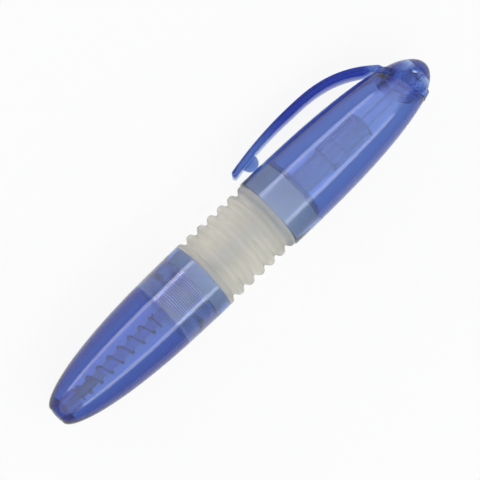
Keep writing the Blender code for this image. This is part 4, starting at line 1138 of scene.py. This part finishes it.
class PEN_OT_clip(bpy.types.Operator):
    """Model the clip and its slanted ring as one moulding that bends at its root."""

    bl_idname = "pen.clip"
    bl_label = "Clip and ring"

    def execute(self, context):
        clip = context.scene.pen_clip
        upper = context.scene.pen_upper
        ring = meshed("clip_ring_mesh", self.ring(clip, upper))
        arm = meshed("clip_arm_mesh", self.arm(clip, upper))
        pad = meshed("clip_pad_mesh", self.pad(clip, upper), SOFT_ANGLE)
        mesh = cut_or_joined(ring, cut_or_joined(arm, pad, "UNION"), "UNION")
        piece = shown("clip_moulding", mesh, shared(blue_clip), "blue_clip", "clip_ring", "clip_arm")
        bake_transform(piece)
        return {"FINISHED"}

    def ring(self, clip, upper):
        """Slanted collar between the end of the barrel and the dome."""
        low = upper.slant_station + ring_lift(upper)
        top = low + clip.ring_height
        bore = neck_bore(upper)
        outline = [(low, bore)]
        for station in spread(low, top, RING_STEPS)[:-1]:
            outline.append((station, upper_radius(upper, station) + clip.ring_proud))
        outline += [(top, upper_radius(upper, top) + clip.ring_proud, clip.ring_edge), (top, bore)]

        def lean(station, radius, angle):
            """Slant both ends, with the outside kept to the barrel's line."""
            if radius < bore + SAME:
                return station - upper.slant * radius * math.cos(angle), radius
            proud = radius - upper_radius(upper, station)
            moved = station
            for _ in range(SOLVE_STEPS):
                radius = upper_radius(upper, moved) + proud
                moved = station - upper.slant * radius * math.cos(angle)
            return moved, radius

        return carved(turned(outline, SHELL_SIDES), lean)

    def arm(self, clip, upper):
        """Curved arm that runs from the ring to a round tip, with its long edges rounded."""
        lift = ring_lift(upper)
        heart = (neck_bore(upper) + upper_radius(upper, upper.slant_station)) / 2
        end = clip.root_station
        for _ in range(SOLVE_STEPS):
            end = slanted(upper, clip_reach(clip, end)) + clip.ring_height
        bent = spread(end, clip.arm_root, ARM_ROOT_STEPS)[:-1]
        stations = spread(clip.arm_root, clip.crest_station, ARM_SWEEP_STEPS)
        stations += spread(clip.crest_station, clip.tip_station, ARM_BOW_STEPS)[1:]
        outer = [clip_point(clip, station, 0.0) for station in bent + stations]
        tip_radius = clip.tip_thickness / 2
        middle = clip_point(clip, clip.tip_station, tip_radius)
        along = clip_direction(clip, clip.tip_station)
        across = Vector((-along.y, along.x))
        tip = []
        for angle in spread(0.0, math.pi, ARM_TIP_STEPS)[1:-1]:
            tip.append(middle + tip_radius * (math.cos(angle) * across - math.sin(angle) * along))
        inner = [clip_point(clip, station, arm_thickness(clip, station)) for station in reversed(stations)]
        foot = slanted(upper, heart)
        root = [slant_end(upper, 1, clip.ring_proud, 2 * lift), Vector((foot + 2 * lift, heart)),
                Vector((foot + clip.ring_height, heart))]
        outline = [tuple(point) for point in outer + tip + inner + root]
        return self.eased(extruded(outline, clip.width), clip)

    def pad(self, clip, upper):
        """Round nub under the arm, as a ball cut off inside the arm."""
        reach = upper.radius + SEAT_GAP + clip.pad_radius
        root = clip_point(clip, clip.pad_station, arm_thickness(clip, clip.pad_station)).y + clip.pad_root
        bm = bmesh.new()
        bmesh.ops.create_uvsphere(bm, **PAD_FACETS, radius=clip.pad_radius,
                                  matrix=Matrix.Translation((clip.pad_station, reach, 0.0)))
        whole = bm.verts[:] + bm.edges[:] + bm.faces[:]
        cut = bmesh.ops.bisect_plane(bm, geom=whole, dist=MERGE, plane_co=(clip.pad_station, root, 0.0),
                                     plane_no=(0.0, 1.0, 0.0), clear_outer=True)
        rim = [item for item in cut["geom_cut"] if isinstance(item, bmesh.types.BMEdge)]
        bmesh.ops.contextual_create(bm, geom=rim)
        bmesh.ops.recalc_face_normals(bm, faces=bm.faces)
        return bm

    def eased(self, bm, clip):
        """Round the edges between the arm's two sides and its rim."""
        sides = [face for face in bm.faces if abs(face.normal.z) > SIDEWAYS]
        rims = [edge for face in sides for edge in face.edges]
        bmesh.ops.bevel(bm, geom=rims, offset=clip.edge, offset_type="OFFSET", affect="EDGES",
                        segments=ARM_ROUND_STEPS, profile=0.5, material=-1, clamp_overlap=True)
        return bm


class PEN_OT_end_plug(bpy.types.Operator):
    """Model the hollow dome that clamps the ring, with a boss for the push rod and the lanyard eye."""

    bl_idname = "pen.end_plug"
    bl_label = "End plug"

    def execute(self, context):
        clip = context.scene.pen_clip
        top = PLUG_REAR - clip.crown_wall
        middle = top - clip.eye_drop - clip.eye_width / 2
        dome = self.dome(clip, context.scene.pen_upper, context.scene.pen_knock, top, middle)
        eye = []
        for angle in spread(0.0, math.tau, EYE_STEPS)[:-1]:
            eye.append((middle + clip.eye_width / 2 * math.cos(angle), clip.eye_width / 2 * math.sin(angle)))
        right_through = 3 * clip.dome_radius
        mesh = cut_or_joined(meshed("end_plug_mesh", dome),
                             meshed("lanyard_eye_mesh", extruded(eye, right_through)), "DIFFERENCE")
        piece = shown("end_plug_dome", mesh, shared(blue_plug), "blue_shell", "end_plug")
        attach(piece, "upper_body")
        return {"FINISHED"}

    def dome(self, clip, upper, knock, top, eye_middle):
        """Dome with its stem and boss. Its hollow ends at the station given as its top."""
        front = upper.slant_station - upper.lip_length - clip.plug_reach
        foot = upper.slant_station + 2 * ring_lift(upper) + clip.ring_height
        stem = neck_bore(upper) - SEAT_GAP
        hollow = stem - clip.plug_wall
        bore = knock.rod_radius + SEAT_GAP
        boss = bore + clip.boss_wall
        boss_end = eye_middle - clip.eye_width / 2 - clip.boss_floor
        boss_front = boss_end - clip.rod_seat
        outline = [(boss_end, 0.0), (boss_end, bore), (boss_front, bore), (boss_front, boss, clip.ring_edge),
                   (top, boss), (top, hollow, clip.plug_wall), (front, hollow), (front, stem), (foot, stem)]
        for step in spread(0.0, 1.0, DOME_STEPS):
            station = foot + (PLUG_REAR - foot) * math.sin(step * math.pi / 2)
            outline.append((station, dome_radius(clip, station)))

        def lean(station, radius, angle):
            """Slant the stem and the dome's foot, less and less towards the top."""
            if abs(station - front) < SAME or abs(radius - stem) < SAME:
                return station - upper.slant * radius * math.cos(angle), radius
            if abs(radius - dome_radius(clip, station)) > SAME:
                return station, radius
            share = (PLUG_REAR - station) / (PLUG_REAR - foot)
            moved = station
            for _ in range(SOLVE_STEPS):
                moved = station - share * upper.slant * dome_radius(clip, moved) * math.cos(angle)
            return moved, dome_radius(clip, moved)

        return carved(turned(outline, SMALL_SIDES, on_axis=True), lean)


class PEN_OT_knock(bpy.types.Operator):
    """Model the knock mechanism: housing with ribs, rotor with keys, push rod with its crown."""

    bl_idname = "pen.knock"
    bl_label = "Knock mechanism"

    def execute(self, context):
        knock = context.scene.pen_knock
        nose = context.scene.pen_nose
        piece = modelled("cam_housing_shell", self.housing(knock, nose), clear_resin, "clear_resin",
                         "cam_housing")
        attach(piece, "lower_body")
        piece = modelled("cam_rotor_body", self.rotor(knock), white_resin, "white_resin", "cam_rotor")
        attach(piece, "refill_body")
        piece = modelled("push_rod_stem", self.rod(knock), white_resin, "white_resin", "push_rod")
        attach(piece, "upper_body")
        return {"FINISHED"}

    def housing(self, knock, nose):
        """Clear cylinder with ribs whose sloped ends latch the rotor."""
        guide = nose.guide_radius + SEAT_GAP
        chamber = HOUSING_FRONT + knock.housing_socket
        rib_front = HOUSING_FRONT + knock.rib_front
        cap = HOUSING_REAR - knock.housing_cap
        hole = knock.rod_radius + SLIDE_GAP
        chamber_radius = knock.housing_radius - knock.housing_wall
        rib_radius = chamber_radius - knock.rib_height
        pitch = math.tau / knock.cams
        outline = [(HOUSING_FRONT, guide), (HOUSING_FRONT, knock.housing_radius, knock.front_edge),
                   (HOUSING_REAR, knock.housing_radius, knock.rear_edge), (HOUSING_REAR, hole), (cap, hole),
                   (cap, rib_radius), (rib_front, rib_radius), (rib_front, chamber_radius),
                   (chamber, chamber_radius), (chamber, guide)]

        def ribs(station, radius, angle):
            """Lower the bore between the ribs and slope their front ends."""
            if abs(radius - rib_radius) < SAME and not within(angle, knock.cams, pitch / 2, knock.key_half):
                radius = chamber_radius - knock.key_band
            if abs(station - rib_front) < SAME:
                station += knock.rib_step * (angle % pitch) / pitch
            return station, radius

        return carved(turned(outline, CAM_SIDES), ribs)

    def rotor(self, knock):
        """Rotor with keys that run between the ribs and teeth for the crown."""
        rotor_end = ROTOR_FRONT + knock.rotor_length
        key_rear = rotor_end - knock.key_setback
        key_front = key_rear - knock.key_length
        key_radius = knock.housing_radius - knock.housing_wall - SLIDE_GAP
        pilot_end = rotor_end + knock.tooth_height + knock.pilot_length
        outline = [(ROTOR_FRONT, 0.0), (ROTOR_FRONT, knock.rotor_radius), (key_front, knock.rotor_radius),
                   (key_front, key_radius), (key_rear, key_radius), (key_rear, knock.rotor_radius),
                   (rotor_end, knock.rotor_radius), (rotor_end, knock.pilot_radius),
                   (pilot_end, knock.pilot_radius), (pilot_end, 0.0)]

        def keys(station, radius, angle):
            """Lower the rotor between its keys and cut its teeth."""
            if radius > knock.rotor_radius + SAME and not within(angle, knock.cams, 0.0, knock.key_half):
                radius = knock.rotor_radius + knock.key_band
            if abs(station - rotor_end) < SAME:
                station += knock.tooth_height * tooth_wave(knock.teeth, angle)
            return station, radius

        return carved(turned(outline, CAM_SIDES, on_axis=True), keys)

    def rod(self, knock):
        """Rod from the end plug, with a toothed crown that drives the rotor."""
        hole = knock.pilot_radius + SLIDE_GAP
        rotor_end = ROTOR_FRONT + knock.rotor_length
        hole_end = rotor_end + knock.tooth_height + knock.pilot_length + 2 * SLIDE_GAP
        shoulder = ROD_FRONT + knock.tooth_height + knock.crown_length
        outline = [(hole_end, 0.0), (hole_end, hole), (ROD_FRONT, hole), (ROD_FRONT, knock.rotor_radius),
                   (shoulder, knock.rotor_radius), (shoulder, knock.rod_radius), (ROD_REAR, knock.rod_radius),
                   (ROD_REAR, 0.0)]

        def bite(station, radius, angle):
            """Cut the crown's teeth."""
            if abs(station - ROD_FRONT) < SAME:
                station += knock.tooth_height * tooth_wave(knock.teeth, angle)
            return station, radius

        return carved(turned(outline, CAM_SIDES, on_axis=True), bite)


class PEN_OT_refill(bpy.types.Operator):
    """Model the refill: tube with ears, ink, metal point and writing ball."""

    bl_idname = "pen.refill"
    bl_label = "Refill"

    def execute(self, context):
        refill = context.scene.pen_refill
        knock = context.scene.pen_knock
        made = [("refill_tube_body", self.tube(refill, knock), clear_resin, "refill_tube"),
                ("ink_column_body", self.ink(refill), blue_ink, "ink_column"),
                ("refill_point_body", self.point(refill), nickel_silver, "refill_point")]
        for name, bm, finish, solid in made:
            piece = modelled(name, bm, finish, finish.__name__, solid)
            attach(piece, "refill_body")
        piece = modelled("writing_ball", self.ball(), carbide, "carbide", "point_ball", SOFT_ANGLE)
        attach(piece, "ball_body")
        return {"FINISHED"}

    def tube(self, refill, knock):
        """Ink tube, thinner inside the spring, with two ears that the spring pushes on."""
        ear_rear = refill.ear_station + refill.ear_thickness
        outline = [(TUBE_FRONT, refill.tube_bore), (TUBE_FRONT, refill.tube_front_radius),
                   (refill.ear_station, refill.tube_front_radius), (refill.ear_station, refill.ear_radius),
                   (ear_rear, refill.ear_radius), (ear_rear, refill.tube_radius),
                   (TUBE_REAR, refill.tube_radius), (TUBE_REAR, refill.tube_bore)]

        def ears(station, radius, angle):
            """Lower the ring between the ears."""
            if radius > refill.tube_radius + SAME and not within(angle, EARS, math.pi / 2, refill.ear_half):
                radius = refill.tube_radius + knock.key_band
            return station, radius

        return carved(turned(outline, SMALL_SIDES), ears)

    def ink(self, refill):
        """Column of ink, with a soft meniscus at its rear."""
        radius = refill.tube_bore - SEAT_GAP
        outline = [(INK_FRONT, 0.0), (INK_FRONT, radius, refill.ink_edge),
                   (INK_REAR, radius, refill.meniscus), (INK_REAR, 0.0)]
        return turned(outline, SMALL_SIDES, on_axis=True)

    def point(self, refill):
        """Metal point with a socket crimped round the ball and an ink channel behind it."""
        ball_radius = (BALL_REAR - BALL_FRONT) / 2
        centre = (BALL_FRONT + BALL_REAR) / 2
        seat = ball_radius + refill.ball_gap
        neck = POINT_FRONT + refill.taper
        body = neck + refill.neck_length
        tail = POINT_REAR - refill.tail_length
        tail_radius = refill.tube_bore - SEAT_GAP
        floor = centre + math.sqrt(seat ** 2 - refill.channel_radius ** 2)
        rim_radius = math.sqrt(seat ** 2 - (centre - POINT_FRONT) ** 2)
        outline = [(POINT_FRONT, rim_radius), (POINT_FRONT, rim_radius + refill.rim_wall),
                   (neck, refill.neck_radius, refill.neck_edge), (body, refill.neck_radius),
                   (body, refill.body_radius, refill.body_edge), (tail, refill.body_radius, refill.tail_edge),
                   (tail, tail_radius), (POINT_REAR, tail_radius, refill.tail_edge),
                   (POINT_REAR, tail_radius - refill.point_wall),
                   (body, refill.neck_radius - refill.point_wall),
                   (neck, refill.channel_radius), (floor, refill.channel_radius)]
        for station in spread(floor, centre, BALL_SEAT_STEPS)[1:]:
            outline.append((station, math.sqrt(seat ** 2 - (station - centre) ** 2)))
        return turned(outline, SMALL_SIDES)

    def ball(self):
        """Writing ball, with its poles on the axis that it rolls about."""
        bm = bmesh.new()
        centre = Matrix.Translation(((BALL_FRONT + BALL_REAR) / 2, 0.0, 0.0))
        bmesh.ops.create_uvsphere(bm, **BALL_FACETS, radius=(BALL_REAR - BALL_FRONT) / 2, matrix=centre)
        return bm


class PEN_OT_spring(bpy.types.Operator):
    """Wind the return spring, with one close turn at each end."""

    bl_idname = "pen.spring"
    bl_label = "Return spring"

    def execute(self, context):
        refill = context.scene.pen_refill
        start = SPRING_FRONT + refill.wire_radius
        end = SPRING_REAR - refill.wire_radius
        open_pitch = (end - start - 2 * refill.end_pitch) / refill.open_turns
        turns = refill.open_turns + 2
        curve = bpy.data.curves.new("spring_wire", "CURVE")
        curve.dimensions = "3D"
        curve.bevel_depth = refill.wire_radius
        curve.bevel_resolution = WIRE_STEPS
        curve.use_fill_caps = True
        spline = curve.splines.new("POLY")
        spline.points.add(turns * COIL_STEPS)
        for step, knot in enumerate(spline.points):
            turn_at = step / COIL_STEPS
            opened = min(max(turn_at - 1.0, 0.0), refill.open_turns)
            station = start + refill.end_pitch * (turn_at - opened) + open_pitch * opened
            angle = turn_at * math.tau
            knot.co = (station, refill.spring_radius * math.cos(angle),
                       refill.spring_radius * math.sin(angle), 1.0)
        wire = bpy.data.objects.new("spring_wire", curve)
        context.scene.collection.objects.link(wire)
        graph = context.evaluated_depsgraph_get()
        bm = bmesh.new()
        bm.from_mesh(wire.evaluated_get(graph).to_mesh())
        bpy.data.objects.remove(wire)
        bmesh.ops.remove_doubles(bm, verts=bm.verts, dist=MERGE)
        bmesh.ops.recalc_face_normals(bm, faces=bm.faces)
        piece = modelled("return_spring_coil", bm, spring_steel, "spring_steel", "return_spring", SOFT_ANGLE)
        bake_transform(piece)
        return {"FINISHED"}


class PEN_OT_stage(bpy.types.Operator):
    """Set up the pale floor, the even light with two strip lamps, and the camera."""

    bl_idname = "pen.stage"
    bl_label = "Stage"

    def execute(self, context):
        stage = context.scene.pen_stage
        context.scene.view_settings.view_transform = "Standard"
        context.scene.cycles.max_bounces = stage.bounces
        context.scene.cycles.transmission_bounces = stage.bounces
        target = Vector((stage.aim_along, PEN_ORIGIN.y, PEN_ORIGIN.z))
        level = math.cos(stage.yaw)
        back = Vector((-math.sin(stage.yaw), level * math.cos(stage.elevation),
                       level * math.sin(stage.elevation)))
        self.floor(context, stage)
        self.sky(context, stage, back)
        for offset in (stage.strip_offset, -stage.strip_offset):
            self.strip(context, stage, target, stage.elevation + offset)
        self.camera(context, stage, target, back)
        return {"FINISHED"}

    def floor(self, context, stage):
        """Pale floor that keeps part of its shadow."""
        bm = bmesh.new()
        bmesh.ops.create_grid(bm, x_segments=4, y_segments=4, size=stage.floor_size / 2)
        mesh = bpy.data.meshes.new("floor")
        bm.to_mesh(mesh)
        bm.free()
        material = bpy.data.materials.new("pale_floor")
        material.use_nodes = True
        tree = material.node_tree
        tree.nodes.remove(tree.nodes["Principled BSDF"])
        diffuse = node(tree, "ShaderNodeBsdfDiffuse", Color=(*stage.floor_tint, 1.0))
        glow = node(tree, "ShaderNodeEmission", Color=(1.0, 1.0, 1.0, 1.0), Strength=1.0)
        mix = tree.nodes.new("ShaderNodeMixShader")
        path = tree.nodes.new("ShaderNodeLightPath").outputs
        seen = math_node(tree, "MAXIMUM", path["Is Camera Ray"], path["Is Glossy Ray"])
        seen = math_node(tree, "MAXIMUM", seen, path["Is Transmission Ray"])
        feed(tree, math_node(tree, "MULTIPLY", seen, 1.0 - stage.shadow_share), mix.inputs["Fac"])
        feed(tree, diffuse.outputs["BSDF"], mix.inputs[1])
        feed(tree, glow.outputs["Emission"], mix.inputs[2])
        feed(tree, mix.outputs["Shader"], tree.nodes["Material Output"].inputs["Surface"])
        mesh.materials.append(material)
        floor = bpy.data.objects.new("floor", mesh)
        context.scene.collection.objects.link(floor)

    def sky(self, context, stage, back):
        """Broad soft light round the camera, plain white where the camera or clear plastic looks at it."""
        world = bpy.data.worlds.new("soft_light")
        world.use_nodes = True
        tree = world.node_tree
        background = tree.nodes["Background"]
        towards = tree.nodes.new("ShaderNodeTexCoord").outputs["Generated"]
        box = ramp_node(tree, dot_node(tree, towards, back), math.cos(stage.softbox_outer),
                        math.cos(stage.softbox_inner), end=stage.softbox)
        path = tree.nodes.new("ShaderNodeLightPath").outputs
        mirrored = math_node(tree, "MAXIMUM", path["Is Glossy Ray"], path["Is Transmission Ray"])
        boxed = math_node(tree, "MULTIPLY", mirrored, box)
        plain = math_node(tree, "MAXIMUM", path["Is Camera Ray"], path["Is Transmission Ray"])
        strength = math_node(tree, "MAXIMUM", math_node(tree, "MAXIMUM", boxed, plain), stage.sky)
        side = ramp_node(tree, dot_node(tree, towards, back.cross(ALONG).normalized()), -1.0, 1.0)
        feed(tree, mix_node(tree, side, stage.far_light, stage.clip_light), background.inputs["Color"])
        feed(tree, strength, background.inputs["Strength"])
        context.scene.world = world

    def strip(self, context, stage, target, elevation):
        """Long soft lamp beside the pen, facing it."""
        lamp = bpy.data.lights.new("strip_lamp", "AREA")
        lamp.shape = "RECTANGLE"
        lamp.size = stage.strip_length
        lamp.size_y = stage.strip_width
        lamp.energy = stage.strip_power
        out = Vector((0.0, math.cos(elevation), math.sin(elevation)))
        turned_to = Matrix((ALONG, out.cross(ALONG), out)).transposed().to_4x4()
        strip = bpy.data.objects.new("strip_lamp", lamp)
        strip.matrix_world = Matrix.Translation(target + stage.strip_distance * out) @ turned_to
        context.scene.collection.objects.link(strip)

    def camera(self, context, stage, target, back):
        """Camera at the photo's angle, rolled so that the pen slopes up to the right."""
        flat = (ALONG - ALONG.dot(back) * back).normalized()
        across = back.cross(flat)
        right = math.cos(stage.roll) * flat - math.sin(stage.roll) * across
        up = math.sin(stage.roll) * flat + math.cos(stage.roll) * across
        data = bpy.data.cameras.new("photo_camera")
        data.lens = stage.lens
        data.clip_start = stage.near_end
        camera = bpy.data.objects.new("photo_camera", data)
        place = target + stage.distance * back + stage.aim_across * across
        camera.matrix_world = Matrix.Translation(place) @ Matrix((right, up, back)).transposed().to_4x4()
        context.scene.collection.objects.link(camera)
        context.scene.camera = camera


OPERATORS = (PEN_OT_nose, PEN_OT_connector, PEN_OT_bellows, PEN_OT_upper_barrel, PEN_OT_clip, PEN_OT_end_plug,
             PEN_OT_knock, PEN_OT_refill, PEN_OT_spring, PEN_OT_stage)
SETTINGS = {"pen_nose": PenNose, "pen_bellows": PenBellows, "pen_upper": PenUpper, "pen_clip": PenClip,
            "pen_refill": PenRefill, "pen_knock": PenKnock, "pen_finish": PenFinish, "pen_stage": PenStage}


class PEN_PT_build(bpy.types.Panel):
    """Lists the pen's operators and sizes."""

    bl_label = "Lanyard pen"
    bl_space_type = "VIEW_3D"
    bl_region_type = "UI"
    bl_category = "Lanyard pen"

    def draw(self, context):
        for operator in OPERATORS:
            self.layout.operator(operator.bl_idname)
        for name, group in SETTINGS.items():
            box = self.layout.box()
            box.label(text=group.__doc__)
            for field in group.__annotations__:
                box.prop(getattr(context.scene, name), field)


def register():
    """Add the pen's classes and settings to Blender."""
    for group in SETTINGS.values():
        bpy.utils.register_class(group)
    for cls in (*OPERATORS, PEN_PT_build):
        bpy.utils.register_class(cls)
    for name, group in SETTINGS.items():
        setattr(bpy.types.Scene, name, PointerProperty(type=group))


def unregister():
    """Take the pen's classes and settings out of Blender."""
    for name in SETTINGS:
        delattr(bpy.types.Scene, name)
    for cls in (PEN_PT_build, *reversed(OPERATORS), *SETTINGS.values()):
        bpy.utils.unregister_class(cls)


def main():
    """Build every piece and the stage."""
    register()
    bpy.ops.pen.nose()
    bpy.ops.pen.connector()
    bpy.ops.pen.bellows()
    bpy.ops.pen.upper_barrel()
    bpy.ops.pen.clip()
    bpy.ops.pen.end_plug()
    bpy.ops.pen.knock()
    bpy.ops.pen.refill()
    bpy.ops.pen.spring()
    bpy.ops.pen.stage()


if __name__ == "__main__":
    main()
